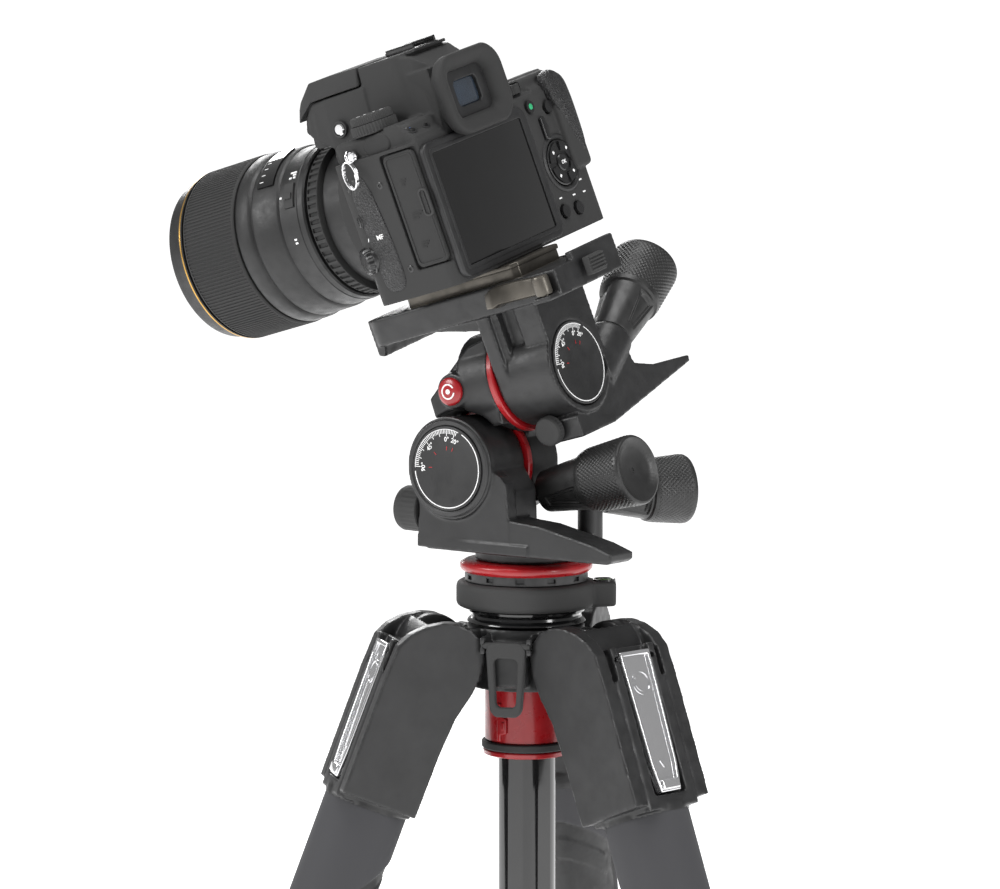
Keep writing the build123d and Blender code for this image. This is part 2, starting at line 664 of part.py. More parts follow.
# ================================================================ head: platform
barrel_start = side_ring_y + ring_width + slide_gap
side_handle_rise = 26.6                           # slope of the side-tilt handle above the platform
handle_direction = (-cos(radians(side_handle_rise)), 0, sin(radians(side_handle_rise)))
handle_root = (-43.9, 32.0, 86.5)
side_knob_y = 25.0
side_knob_z = 59.0
side_knob_x = 15.0
boss_plane = Plane(origin=handle_root, x_dir=(0, 1, 0), z_dir=handle_direction)
with BuildPart() as platform:
    bar(side_axis, barrel_radius, barrel_start, side_barrel_end)
    wall = (-barrel_radius, barrel_radius)
    block(wall, (barrel_start, 17), (side_axis_z, platform_floor))
    block((-barrel_radius, 18), (28, side_barrel_end), (side_axis_z, platform_floor))
    block((-barrel_radius, -12), (barrel_start, side_barrel_end), (side_axis_z, platform_floor))
    with BuildSketch(Plane.XZ.offset(-40)):
        with BuildLine():
            Polyline(
                (14, 62), (14, 52), (-15, 51), (-90, 60), (-91, 63), (-60, 67), (-45, 72), (-43, 80), (-20, 80),
                (0, 70), (14, 62),
            )
        make_face()
    extrude(amount=24)
    bar(boss_plane, handle_root_radius + 1, -28, -slide_gap)
    block((-platform_width / 2, platform_width / 2), (platform_front, platform_rear), (platform_floor, platform_top))
    fillet(platform.edges().filter_by(Axis.Z).group_by(Axis.Y)[0], 8)
    block((-platform_width / 2, 10), (60, platform_rear), (platform_top, platform_top + 4))
    block(
        (platform_width / 2, lever_pivot_x + 4.5), (lever_pivot_y - 5, lever_pivot_y + 5),
        (platform_floor, lever_low - slide_gap),
    )
    half_plate = plate_width / 2 + slide_gap
    block(
        (-half_plate, half_plate), (plate_front - slide_gap, plate_rear + slide_gap),
        (plate_seat, platform_top), Mode.SUBTRACT,
    )
    bar(side_axis, axle_radius + running_fit, barrel_start, side_barrel_end, Mode.SUBTRACT)
    bar(side_axis, dial_radius + slide_gap, side_barrel_end - 4, side_barrel_end + 4, Mode.SUBTRACT)
    bar(boss_plane, handle_stem_radius + running_fit, -9, 0, Mode.SUBTRACT)
    bar(along_x(side_knob_y, side_knob_z), knob_stem_radius + running_fit, 5, 15, Mode.SUBTRACT)
    bar(
        along_z(lever_pivot_x, lever_pivot_y), release_pin_radius + running_fit,
        platform_floor, lever_low - slide_gap, Mode.SUBTRACT,
    )
    bar(along_y(0, catch_z), release_pin_radius + running_fit, platform_rear - 14, platform_rear, Mode.SUBTRACT)
finish(platform, "platform", head_place)

finish(lock_handle(8), "side_handle", head_place * boss_plane.location)
side_knob_plane = Plane(origin=(side_knob_x, side_knob_y, side_knob_z), x_dir=(0, 1, 0), z_dir=(1, 0, 0))
with BuildPart() as side_knob:
    bar(along_z(0, 0), side_knob_radius, 0, side_knob_length)
    fillet(side_knob.faces().sort_by(Axis.Z)[-1].edges(), 1.2)
    bar(along_z(0, 0), knob_stem_radius, -8, 0)
finish(side_knob, "side_friction_knob", head_place * side_knob_plane.location)

with BuildPart() as release_plate:
    block((-plate_width / 2, plate_width / 2), (plate_front, plate_rear), (plate_seat, platform_top))
    chamfer(release_plate.edges().filter_by(Axis.Z), 3)
    block((-plate_width / 2 + 3, plate_width / 2 - 3), (plate_front + 1, plate_rear - 1), (platform_top, plate_top))
finish(release_plate, "release_plate", head_place)

with BuildPart() as plate_lever:
    bar(along_z(lever_pivot_x, lever_pivot_y), 4, lever_low, lever_high)
    block((platform_width / 2 + 0.6, platform_width / 2 + 7), (26, lever_pivot_y), (lever_low, lever_high))
    chamfer(plate_lever.faces().sort_by(Axis.Y)[0].edges(), 1.5)
    bar(along_z(lever_pivot_x, lever_pivot_y), release_pin_radius, platform_floor + slide_gap, lever_low)
finish(plate_lever, "plate_lever", head_place)

with BuildPart() as plate_catch:
    block((-7, 7), (platform_rear + 2.4, platform_rear + 6.4), (catch_z - 4.5, catch_z + 4.5))
    chamfer(plate_catch.faces().sort_by(Axis.Y)[-1].edges(), 1)
    bar(along_y(0, catch_z), release_pin_radius, platform_rear - 8, platform_rear + 2.4)
finish(plate_catch, "plate_catch", head_place)

# ================================================================ camera
base = plate_top
body_top = base + body_height
cover_top = body_top + cover_height
lens_z = base + lens_rise
lens_axis = along_y(lens_x, lens_z)
screen_x = 5.5
screen_z = base + 33.4
pad_place = (-55.6, base + 33)
button_places = ((-45, base + 63), (-59.5, base + 60), (-57, base + 10), (-45.5, base + 11))
dial_place = (-40.0, 20.0)
dial_low = body_top + 2.5
mode_place = (39.5, 4.0)
shutter_place = (-65.0, -31.0)
door_front = 10.0
door_rear = 28.0
door_span = (base + 12, base + 66)
door_thickness = 2.6
button_radius = 3.0
pad_radius = 11.0
wheel_radius = 10.0
mode_radius = 11.0
mode_shaft_radius = 4.0
shutter_radius = 6.0

with BuildPart() as camera_body:
    block((body_right, body_left), (body_front, body_rear), (base, body_top))
    block((body_right, body_right + 30), (body_front - 25, body_rear), (base + 2, body_top))
    fillet(camera_body.edges().filter_by(Axis.Z), 7)
    bar(lens_axis, mount_radius, body_front - mount_length, body_front + 2)
    screen_half = screen_width / 2 + slide_gap
    block(
        (screen_x - screen_half, screen_x + screen_half), (body_rear - 1, body_rear + 1),
        (screen_z - screen_height / 2 - slide_gap, screen_z + screen_height / 2 + slide_gap), Mode.SUBTRACT,
    )
    for place in button_places:
        bar(along_y(*place), button_radius + slide_gap, body_rear - 4, body_rear, Mode.SUBTRACT)
    bar(along_y(*pad_place), pad_radius + slide_gap, body_rear - 3, body_rear, Mode.SUBTRACT)
    block(
        (body_left - door_thickness - slide_gap, body_left), (door_front - free_gap, body_rear),
        (door_span[0] - slide_gap, door_span[1] + slide_gap), Mode.SUBTRACT,
    )
finish(camera_body, "camera_body", head_place)

with BuildPart() as top_cover:
    block((body_right + 3, body_left - 3), (body_front + 2, body_rear - 3), (body_top, cover_top))
    block((body_right + 3, body_right + 28), (body_front - 22, body_rear - 3), (body_top, cover_top - 2))
    fillet(top_cover.edges().filter_by(Axis.Z), 6)
    chamfer(top_cover.faces().sort_by(Axis.Z)[-1].edges(), 1.5)
    with BuildSketch(Plane.XY.offset(body_top)):
        with Locations((lens_x, -11)):
            RectangleRounded(52, 74, 10)
    with BuildSketch(Plane.XY.offset(base + prism_top)):
        with Locations((lens_x, -14)):
            RectangleRounded(40, 64, 9)
    loft()
    block((lens_x - 20, lens_x + 20), (body_rear - 12, body_rear), (body_top, base + 97))
    bar(lens_axis, mount_radius + free_gap, body_front - mount_length, body_front + 3, Mode.SUBTRACT)
    bar(lens_axis, lens_radius + 2 * free_gap, -90, body_front - mount_length, Mode.SUBTRACT)
    block((-40, 44), (-60, flash_hinge_y + 0.4), (base + prism_top - 8.4, base + prism_top + 1), Mode.SUBTRACT)
    bar(along_z(*dial_place), wheel_radius + slide_gap, dial_low, dial_low + 5.4, Mode.SUBTRACT)
    bar(along_z(*mode_place), mode_shaft_radius + running_fit, cover_top - 5, cover_top, Mode.SUBTRACT)
    bar(along_z(*shutter_place), shutter_radius + slide_gap, cover_top - 5, cover_top, Mode.SUBTRACT)
finish(top_cover, "top_cover", head_place)

with BuildPart() as flash:
    block((lens_x - 21, lens_x + 21), (-45, flash_hinge_y), (base + prism_top - 8, base + prism_top))
    chamfer(flash.faces().sort_by(Axis.Y)[0].edges(), 2.5)
finish(flash, "pop_up_flash", head_place)

with BuildPart() as rear_screen:
    block(
        (screen_x - screen_width / 2, screen_x + screen_width / 2), (body_rear - 1, body_rear + 0.6),
        (screen_z - screen_height / 2, screen_z + screen_height / 2),
    )
    fillet(rear_screen.edges().filter_by(Axis.Y), 2)
finish(rear_screen, "rear_screen", head_place)

with BuildPart() as eyecup:
    with BuildSketch(Plane.XZ.offset(-body_rear)):
        with Locations((lens_x, base + 81)):
            RectangleRounded(eyecup_width, eyecup_height, 10)
            RectangleRounded(finder_width, finder_height, 4, mode=Mode.SUBTRACT)
    extrude(amount=-eyecup_depth)
finish(eyecup, "eyecup", head_place)

with BuildPart() as mode_dial:
    bar(along_z(*mode_place), mode_radius, cover_top + slide_gap, cover_top + 9.4)
    chamfer(mode_dial.edges().filter_by(GeomType.CIRCLE), 0.8)
    bar(along_z(*mode_place), mode_shaft_radius, cover_top - 4, cover_top + slide_gap)
finish(mode_dial, "mode_dial", head_place)

with BuildPart() as shutter_button:
    bar(along_z(*shutter_place), shutter_radius, cover_top - 3.6, cover_top + 1)
    fillet(shutter_button.faces().sort_by(Axis.Z)[-1].edges(), 1)
finish(shutter_button, "shutter_button", head_place)

with BuildPart() as rear_dial:
    bar(along_z(*dial_place), wheel_radius, dial_low + 0.3, dial_low + 5.1)
finish(rear_dial, "rear_dial", head_place)

with BuildPart() as rear_buttons:
    for place in button_places:
        bar(along_y(*place), button_radius, body_rear - 2.6, body_rear + 1.2)
finish(rear_buttons, "rear_buttons", head_place)

with BuildPart() as control_pad:
    bar(along_y(*pad_place), pad_radius, body_rear - 2, body_rear + 1.6)
    fillet(control_pad.faces().sort_by(Axis.Y)[-1].edges(), 0.8)
    bar(along_y(*pad_place), 4.4, body_rear + 0.8, body_rear + 2, Mode.SUBTRACT)
finish(control_pad, "control_pad", head_place)

with BuildPart() as port_door:
    block((body_left - door_thickness, body_left), (door_front, door_rear), door_span)
    fillet(port_door.edges().filter_by(Axis.X), 2)
finish(port_door, "port_door", head_place)

lens_start = body_front - mount_length
ring_low = lens_start - 12
ring_high = lens_start - 20
focus_low = lens_start - 61
focus_high = lens_start - 94.5
with BuildPart() as lens_barrel:
    bar(lens_axis, mount_radius - 3, ring_low, lens_start)
    bar(lens_axis, mount_radius - 7, ring_high, ring_low)
    bar(lens_axis, lens_radius - lens_rim, focus_low, ring_high)
    bar(lens_axis, lens_radius - 5, focus_high, focus_low)
    bar(lens_axis, lens_radius - lens_rim, lens_start - lens_length, focus_high)
    chamfer(lens_barrel.faces().sort_by(Axis.Y)[0].edges(), 1)
    bar(lens_axis, lens_radius - 7, lens_start - lens_length, lens_start - lens_length + 8, Mode.SUBTRACT)
finish(lens_barrel, "lens_barrel", head_place)

with BuildPart() as aperture_ring:
    ring(lens_axis, mount_radius, mount_radius - 7 + slide_gap, ring_high + ring_gap, ring_low - ring_gap)
finish(aperture_ring, "aperture_ring", head_place)

with BuildPart() as focus_ring:
    ring(lens_axis, lens_radius, lens_radius - 5 + slide_gap, focus_high + ring_gap, focus_low - ring_gap)
finish(focus_ring, "focus_ring", head_place)
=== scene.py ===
"""Looks of a digital reflex camera on a three-way head and a folding tripod.

Every shape is given in the millimetres of one local frame (shoulder, tilt arm, camera
platform or leg) and is placed by that frame's matrix, so a piece sits where its CAD
body sits. Each sub-assembly is a class, and each finish is a frozen dataclass.
"""
import logging
from dataclasses import dataclass, field
from enum import Enum
from math import cos, hypot, pi, radians, sin
from typing import Callable, Iterable, Optional, Sequence

import bmesh
import bpy
from mathutils import Matrix, Vector


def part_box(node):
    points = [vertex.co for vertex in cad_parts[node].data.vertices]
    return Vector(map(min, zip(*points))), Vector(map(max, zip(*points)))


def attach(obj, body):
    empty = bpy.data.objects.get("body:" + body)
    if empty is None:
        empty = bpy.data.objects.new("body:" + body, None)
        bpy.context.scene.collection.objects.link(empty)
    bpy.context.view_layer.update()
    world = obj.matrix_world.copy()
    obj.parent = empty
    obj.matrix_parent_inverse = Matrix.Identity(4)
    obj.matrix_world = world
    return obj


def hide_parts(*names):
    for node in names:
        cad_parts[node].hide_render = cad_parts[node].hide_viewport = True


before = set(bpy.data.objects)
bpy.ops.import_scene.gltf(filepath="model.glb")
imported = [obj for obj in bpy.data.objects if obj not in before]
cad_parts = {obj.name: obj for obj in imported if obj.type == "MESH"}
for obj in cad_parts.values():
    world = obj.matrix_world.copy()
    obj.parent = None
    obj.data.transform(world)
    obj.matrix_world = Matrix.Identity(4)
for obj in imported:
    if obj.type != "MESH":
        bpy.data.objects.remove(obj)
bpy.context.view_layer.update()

LOG = logging.getLogger("camera_on_tripod")
MM = 0.001
Point = Sequence[float]
Relief = Callable[[float, float], float]


# ------------------------------------------------------------------------ finishes
class Grain(Enum):
    """Kinds of surface grain that a finish can carry."""

    CAST = "cast"
    FINE = "fine"
    PEBBLE = "pebble"
    CREASED = "creased"
    BRUSHED = "brushed"
    WOVEN = "woven"
    NONE = "none"


@dataclass(frozen=True)
class Finish:
    """A procedural surface finish.

    Attributes:
        name: Name of the material.
        slot: Slot of the record that the finish belongs to; not used.
        color: Linear base colour.
        rough: Roughness away from the worn edges.
        metal: Metallic share.
        coat: Weight of the clear coat.
        grain: Kind of grain on the surface.
        scale: Size of the grain in millimetres.
        depth: Height of the grain in millimetres.
        mottle: Share by which the colour drifts over the surface.
        wear: How much the edges lighten.
        through: Weight of light passing through, as in glass.
        glow: Strength of emitted light: painted glow that brightens printed marks, and the even brightness of the
            floor.
    """

    name: str
    slot: str
    color: tuple[float, float, float]
    rough: float = 0.5
    metal: float = 0.0
    coat: float = 0.0
    grain: Grain = Grain.CAST
    scale: float = 0.5
    depth: float = 0.02
    mottle: float = 0.25
    wear: float = 0.0
    through: float = 0.0
    glow: float = 0.0

    def material(self) -> bpy.types.Material:
        """Builds the material once and finds it again afterwards.

        Returns:
            The material with this finish's nodes.
        """
        found = bpy.data.materials.get(self.name)
        if found is not None:
            return found
        made = bpy.data.materials.new(self.name)
        made.use_nodes = True
        made.diffuse_color = (*self.color, 1.0)
        tree = made.node_tree
        shader = tree.nodes["Principled BSDF"]
        shader.inputs["Metallic"].default_value = self.metal
        shader.inputs["Coat Weight"].default_value = self.coat
        shader.inputs["Coat Roughness"].default_value = 0.08
        shader.inputs["Transmission Weight"].default_value = self.through
        # Emission paints a glow onto printed marks beyond their lit tone, and keeps the floor evenly bright.
        if self.glow > 0:
            shader.inputs["Emission Color"].default_value = (*self.color, 1.0)
            shader.inputs["Emission Strength"].default_value = self.glow
        where = tree.nodes.new("ShaderNodeTexCoord").outputs["Object"]
        self._colour(tree, shader, where)
        self._roughness(tree, shader, where)
        self._relief(tree, shader, where)
        return made

    def _noise(
        self, tree: bpy.types.NodeTree, where: bpy.types.NodeSocket, size: float, detail: float = 3.0
    ) -> bpy.types.NodeSocket:
        """Adds a noise whose features are size millimetres across.

        Args:
            tree: Node tree of the material.
            where: Socket with the position on the surface.
            size: Feature size in millimetres.
            detail: Octaves of the noise.

        Returns:
            The socket with the noise value.
        """
        node = tree.nodes.new("ShaderNodeTexNoise")
        node.inputs["Scale"].default_value = 1.0 / (size * MM)
        node.inputs["Detail"].default_value = detail
        tree.links.new(where, node.inputs["Vector"])
        return node.outputs["Fac"]

    def _range(
        self, tree: bpy.types.NodeTree, value: bpy.types.NodeSocket, source: Point, target: Point
    ) -> bpy.types.NodeSocket:
        """Maps a value from one range to another.

        Args:
            tree: Node tree of the material.
            value: Socket to map.
            source: Lowest and highest value before.
            target: Lowest and highest value after.

        Returns:
            The socket with the mapped value.
        """
        node = tree.nodes.new("ShaderNodeMapRange")
        for name, number in zip(("From Min", "From Max", "To Min", "To Max"), (*source, *target)):
            node.inputs[name].default_value = number
        tree.links.new(value, node.inputs["Value"])
        return node.outputs["Result"]

    def _mix(
        self, tree: bpy.types.NodeTree, share: bpy.types.NodeSocket, low: object, high: object
    ) -> bpy.types.NodeSocket:
        """Mixes two colours by a share.

        Args:
            tree: Node tree of the material.
            share: Socket with the share of the second colour.
            low: First colour, a tuple or a socket.
            high: Second colour, a tuple or a socket.

        Returns:
            The socket with the mixed colour.
        """
        node = tree.nodes.new("ShaderNodeMix")
        node.data_type = "RGBA"
        tree.links.new(share, node.inputs[0])
        for socket, colour in ((node.inputs[6], low), (node.inputs[7], high)):
            if isinstance(colour, tuple):
                socket.default_value = (*colour, 1.0)
            else:
                tree.links.new(colour, socket)
        return node.outputs[2]

    def _colour(
        self, tree: bpy.types.NodeTree, shader: bpy.types.Node, where: bpy.types.NodeSocket
    ) -> None:
        """Links a colour that drifts slightly and lightens along worn edges.

        Args:
            tree: Node tree of the material.
            shader: Principled shader node.
            where: Socket with the position on the surface.
        """
        low = tuple(c * (1 - self.mottle) for c in self.color)
        high = tuple(min(1.0, c * (1 + self.mottle)) for c in self.color)
        drift = self._range(tree, self._noise(tree, where, 14.0), (0.3, 0.7), (0.0, 1.0))
        colour = self._mix(tree, drift, low, high)
        if self.wear > 0:
            point = tree.nodes.new("ShaderNodeNewGeometry").outputs["Pointiness"]
            edge = self._range(tree, point, (0.53, 0.60), (0.0, self.wear))
            worn = tuple(min(1.0, c * 3 + 0.03) for c in self.color)
            colour = self._mix(tree, edge, colour, worn)
        tree.links.new(colour, shader.inputs["Base Color"])

    def _roughness(
        self, tree: bpy.types.NodeTree, shader: bpy.types.Node, where: bpy.types.NodeSocket
    ) -> None:
        """Links a roughness that changes a little with handling marks.

        Args:
            tree: Node tree of the material.
            shader: Principled shader node.
            where: Socket with the position on the surface.
        """
        span = 0.18 * self.rough
        marks = self._noise(tree, where, 5.0, 4.0)
        rough = self._range(tree, marks, (0.35, 0.65), (self.rough - span, min(1.0, self.rough + span)))
        tree.links.new(rough, shader.inputs["Roughness"])

    def _relief(
        self, tree: bpy.types.NodeTree, shader: bpy.types.Node, where: bpy.types.NodeSocket
    ) -> None:
        """Links the grain as a bump.

        Args:
            tree: Node tree of the material.
            shader: Principled shader node.
            where: Socket with the position on the surface.
        """
        if self.grain is Grain.NONE:
            return
        if self.grain is Grain.BRUSHED:
            stretch = tree.nodes.new("ShaderNodeMapping")
            stretch.inputs["Scale"].default_value = (1.0, 1.0, 0.04)
            tree.links.new(where, stretch.inputs["Vector"])
            height = self._noise(tree, stretch.outputs["Vector"], self.scale, 4.0)
        elif self.grain in (Grain.PEBBLE, Grain.CREASED, Grain.WOVEN):
            cells = tree.nodes.new("ShaderNodeTexVoronoi")
            cells.feature = "DISTANCE_TO_EDGE" if self.grain is not Grain.WOVEN else "F1"
            if self.grain is Grain.WOVEN:
                cells.inputs["Randomness"].default_value = 0.15
            cells.inputs["Scale"].default_value = 1.0 / (self.scale * MM)
            tree.links.new(where, cells.inputs["Vector"])
            height = self._range(tree, cells.outputs["Distance"], (0.0, 0.35), (0.0, 1.0))
            if self.grain is Grain.CREASED:
                fine = self._noise(tree, where, self.scale * 0.4, 5.0)
                both = tree.nodes.new("ShaderNodeMath")
                both.operation = "MULTIPLY_ADD"
                both.inputs[1].default_value = 0.6
                tree.links.new(fine, both.inputs[0])
                tree.links.new(height, both.inputs[2])
                height = both.outputs[0]
        else:
            detail = 6.0 if self.grain is Grain.CAST else 2.0
            height = self._noise(tree, where, self.scale, detail)
        bump = tree.nodes.new("ShaderNodeBump")
        bump.inputs["Strength"].default_value = 1.0
        bump.inputs["Distance"].default_value = self.depth * MM
        tree.links.new(height, bump.inputs["Height"])
        tree.links.new(bump.outputs["Normal"], shader.inputs["Normal"])


CAST_BLACK = Finish("cast_black", "casting", (0.016, 0.016, 0.0165), 0.42, scale=0.55, depth=0.02, wear=0.35)
RED_PAINT = Finish("red_paint", "red_trim", (0.34, 0.006, 0.01), 0.32, coat=0.35, scale=1.5, depth=0.01,
    mottle=0.12)
STEEL = Finish("bright_steel", "bright_steel", (0.62, 0.62, 0.63), 0.22, 1.0, grain=Grain.FINE, scale=0.4,
    depth=0.004)
DARK_STEEL = Finish(
    "dark_steel", "bright_steel", (0.014, 0.014, 0.015), 0.4, 0.2, grain=Grain.FINE, scale=0.4, depth=0.006
)
ALLOY = Finish(
    "polished_alloy", "polished_alloy", (0.5, 0.51, 0.53), 0.38, 1.0, grain=Grain.NONE, mottle=0.03,
)
BRONZE_GREY = Finish("bronze_grey", "grey_alloy", (0.09, 0.082, 0.07), 0.36, 0.75, scale=0.6, depth=0.012,
    wear=0.6)
TUBE_BLACK = Finish(
    "tube_black", "column_black", (0.006, 0.006, 0.0065), 0.16, coat=0.6, grain=Grain.BRUSHED, scale=0.5,
    depth=0.002
)
MOULDED = Finish("moulded_black", "moulded_black", (0.013, 0.013, 0.0135), 0.46, grain=Grain.FINE, scale=0.35,
    depth=0.012)
SOFT_BLACK = Finish("soft_black", "soft_black", (0.01, 0.01, 0.0105), 0.6, grain=Grain.FINE, scale=0.3,
    depth=0.01)
GRIP = Finish("grip_rubber", "grip_rubber", (0.016, 0.016, 0.0165), 0.62, grain=Grain.WOVEN, scale=1.1,
    depth=0.22)
GRIP_SMOOTH = Finish("grip_panel", "grip_rubber", (0.013, 0.013, 0.0135), 0.5, grain=Grain.FINE, scale=0.4,
    depth=0.01)
HANDLE = Finish("handle_black", "handle", (0.016, 0.016, 0.016), 0.4, grain=Grain.FINE, scale=0.4,
    depth=0.012, wear=0.2)
DIAL = Finish("dial_black", "dial_face", (0.014, 0.014, 0.0145), 0.45, grain=Grain.FINE, scale=0.3,
    depth=0.008)
# White print with a painted glow (emission) that brightens it beyond its lit tone.
WHITE_INK_PAINTED_GLOW = Finish(
    "white_ink_painted_glow", "dial_face", (0.85, 0.85, 0.85), 0.5, grain=Grain.FINE, scale=0.3, depth=0.004, mottle=0.05,
    glow=0.12
)
RED_INK = Finish("red_ink", "dial_face", (0.45, 0.01, 0.015), 0.5, grain=Grain.FINE, scale=0.3, depth=0.004,
    mottle=0.05)
SHELL = Finish("camera_shell", "camera_shell", (0.011, 0.011, 0.0115), 0.42, grain=Grain.PEBBLE, scale=0.28,
    depth=0.016)
PANEL = Finish("camera_panel", "camera_shell", (0.014, 0.014, 0.0145), 0.5, grain=Grain.FINE, scale=0.3,
    depth=0.01)
LEATHER = Finish(
    "grip_leather", "camera_shell", (0.012, 0.012, 0.0125), 0.38, grain=Grain.CREASED, scale=1.3, depth=0.22,
    mottle=0.3
)
KEY_BLACK = Finish("key_black", "camera_metal", (0.01, 0.01, 0.0105), 0.28, coat=0.3, grain=Grain.FINE,
    depth=0.004)
SCREEN_GLASS = Finish(
    "screen_glass", "screen", (0.002, 0.002, 0.0022), 0.05, coat=1.0, grain=Grain.FINE, scale=60.0,
    depth=0.004
)
BEZEL = Finish("screen_surround", "screen", (0.006, 0.006, 0.0065), 0.22, coat=0.4, grain=Grain.FINE,
    scale=0.4, depth=0.003)
CHROME = Finish("chrome_lug", "camera_metal", (0.78, 0.78, 0.79), 0.1, 1.0, grain=Grain.FINE, scale=0.6,
    depth=0.003, mottle=0.05)
LENS_BLACK = Finish("lens_black", "lens_shell", (0.011, 0.011, 0.0112), 0.46, grain=Grain.PEBBLE, scale=0.3,
    depth=0.014)
LENS_RUBBER = Finish("lens_rubber", "lens_rubber", (0.012, 0.012, 0.012), 0.5, grain=Grain.FINE, scale=0.3,
    depth=0.008)
GOLD = Finish("gold_line", "lens_shell", (0.55, 0.33, 0.09), 0.3, 0.9, grain=Grain.FINE, scale=0.5,
    depth=0.003)
LENS_GLASS = Finish(
    "lens_glass", "lens_shell", (0.02, 0.03, 0.045), 0.04, coat=1.0, grain=Grain.FINE, scale=80.0, depth=0.002
)
# Green and blue print with a painted glow (emission) that brightens them beyond their lit tone.
GREEN_INK_PAINTED_GLOW = Finish("green_ink_painted_glow", "camera_metal", (0.03, 0.38, 0.16), 0.4, grain=Grain.FINE, depth=0.004,
    glow=0.1)
BLUE_INK_PAINTED_GLOW = Finish("blue_ink_painted_glow", "camera_metal", (0.05, 0.16, 0.6), 0.4, grain=Grain.FINE, depth=0.004, glow=0.1)
VIAL_GREEN = Finish("vial_green", "moulded_black", (0.25, 0.6, 0.08), 0.12, coat=1.0, grain=Grain.FINE,
    depth=0.002)


# ------------------------------------------------------------------------ frames
@dataclass(frozen=True)
class Stance:
    """Where the moving groups stand at rest, in millimetres and degrees."""

    ring_height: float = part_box("pan_ring")[0].z / MM
    pivot_drop: float = 37.0
    pivot_radius: float = 42.0
    leg_spread: float = 21.0
    leg_azimuths: tuple[float, float, float] = (81.3, 201.3, 321.3)
    forward_tilt: float = 15.0
    side_tilt: float = 12.0
    tilt_axis: tuple[float, float] = (-22.0, 49.5)
    side_axis: float = 84.5

    def pan(self) -> Matrix:
        """Matrix of the shoulder, column and pan group."""
        return Matrix.Scale(MM, 4) @ Matrix.Translation((0, 0, self.ring_height))

    def tilt(self) -> Matrix:
        """Matrix of the arm that nods forward."""
        pivot = Vector((0, *self.tilt_axis))
        turn = Matrix.Rotation(radians(self.forward_tilt), 4, "X")
        return self.pan() @ Matrix.Translation(pivot) @ turn @ Matrix.Translation(-pivot)

    def head(self) -> Matrix:
        """Matrix of the platform and the camera."""
        pivot = Vector((0, 0, self.side_axis))
        turn = Matrix.Rotation(radians(self.side_tilt), 4, "Y")
        return self.tilt() @ Matrix.Translation(pivot) @ turn @ Matrix.Translation(-pivot)

    def leg(self, number: int) -> Matrix:
        """Matrix of a leg: origin at its pivot, X outboard, Z up the leg.

        Args:
            number: Leg number from 1 to 3.

        Returns:
            The leg's matrix.
        """
        azimuth = radians(self.leg_azimuths[number - 1])
        pivot = Vector((self.pivot_radius * cos(azimuth), self.pivot_radius * sin(azimuth), -self.pivot_drop))
        turn = Matrix.Rotation(azimuth, 4, "Z") @ Matrix.Rotation(radians(-self.leg_spread), 4, "Y")
        return self.pan() @ Matrix.Translation(pivot) @ turn


def facing(origin: Point, normal: Point, right: Point = (1, 0, 0)) -> Matrix:
    """A local frame whose Z is a given direction.

    Args:
        origin: Origin of the frame.
        normal: Direction of the frame's Z.
        right: Direction that the frame's X leans to.

    Returns:
        The matrix of the frame.
    """
    z_axis = Vector(normal).normalized()
    x_axis = Vector(right) - Vector(right).dot(z_axis) * z_axis
    x_axis.normalize()
    y_axis = z_axis.cross(x_axis)
    turn = Matrix((x_axis, y_axis, z_axis)).transposed().to_4x4()
    return Matrix.Translation(Vector(origin)) @ turn


def rounded(width: float, height: float, radius: float, steps: int = 8) -> list[tuple[float, float]]:
    """Outline of a rounded rectangle, centred on the origin.

    Args:
        width: Size along X.
        height: Size along Y.
        radius: Corner radius.
        steps: Points in each corner.

    Returns:
        The outline, anticlockwise.
    """
    points = []
    corners = ((1, 1), (-1, 1), (-1, -1), (1, -1))
    for index, (sx, sy) in enumerate(corners):
        cx, cy = sx * (width / 2 - radius), sy * (height / 2 - radius)
        for step in range(steps + 1):
            angle = radians(90 * index + 90 * step / steps)
            points.append((cx + radius * cos(angle), cy + radius * sin(angle)))
    return points


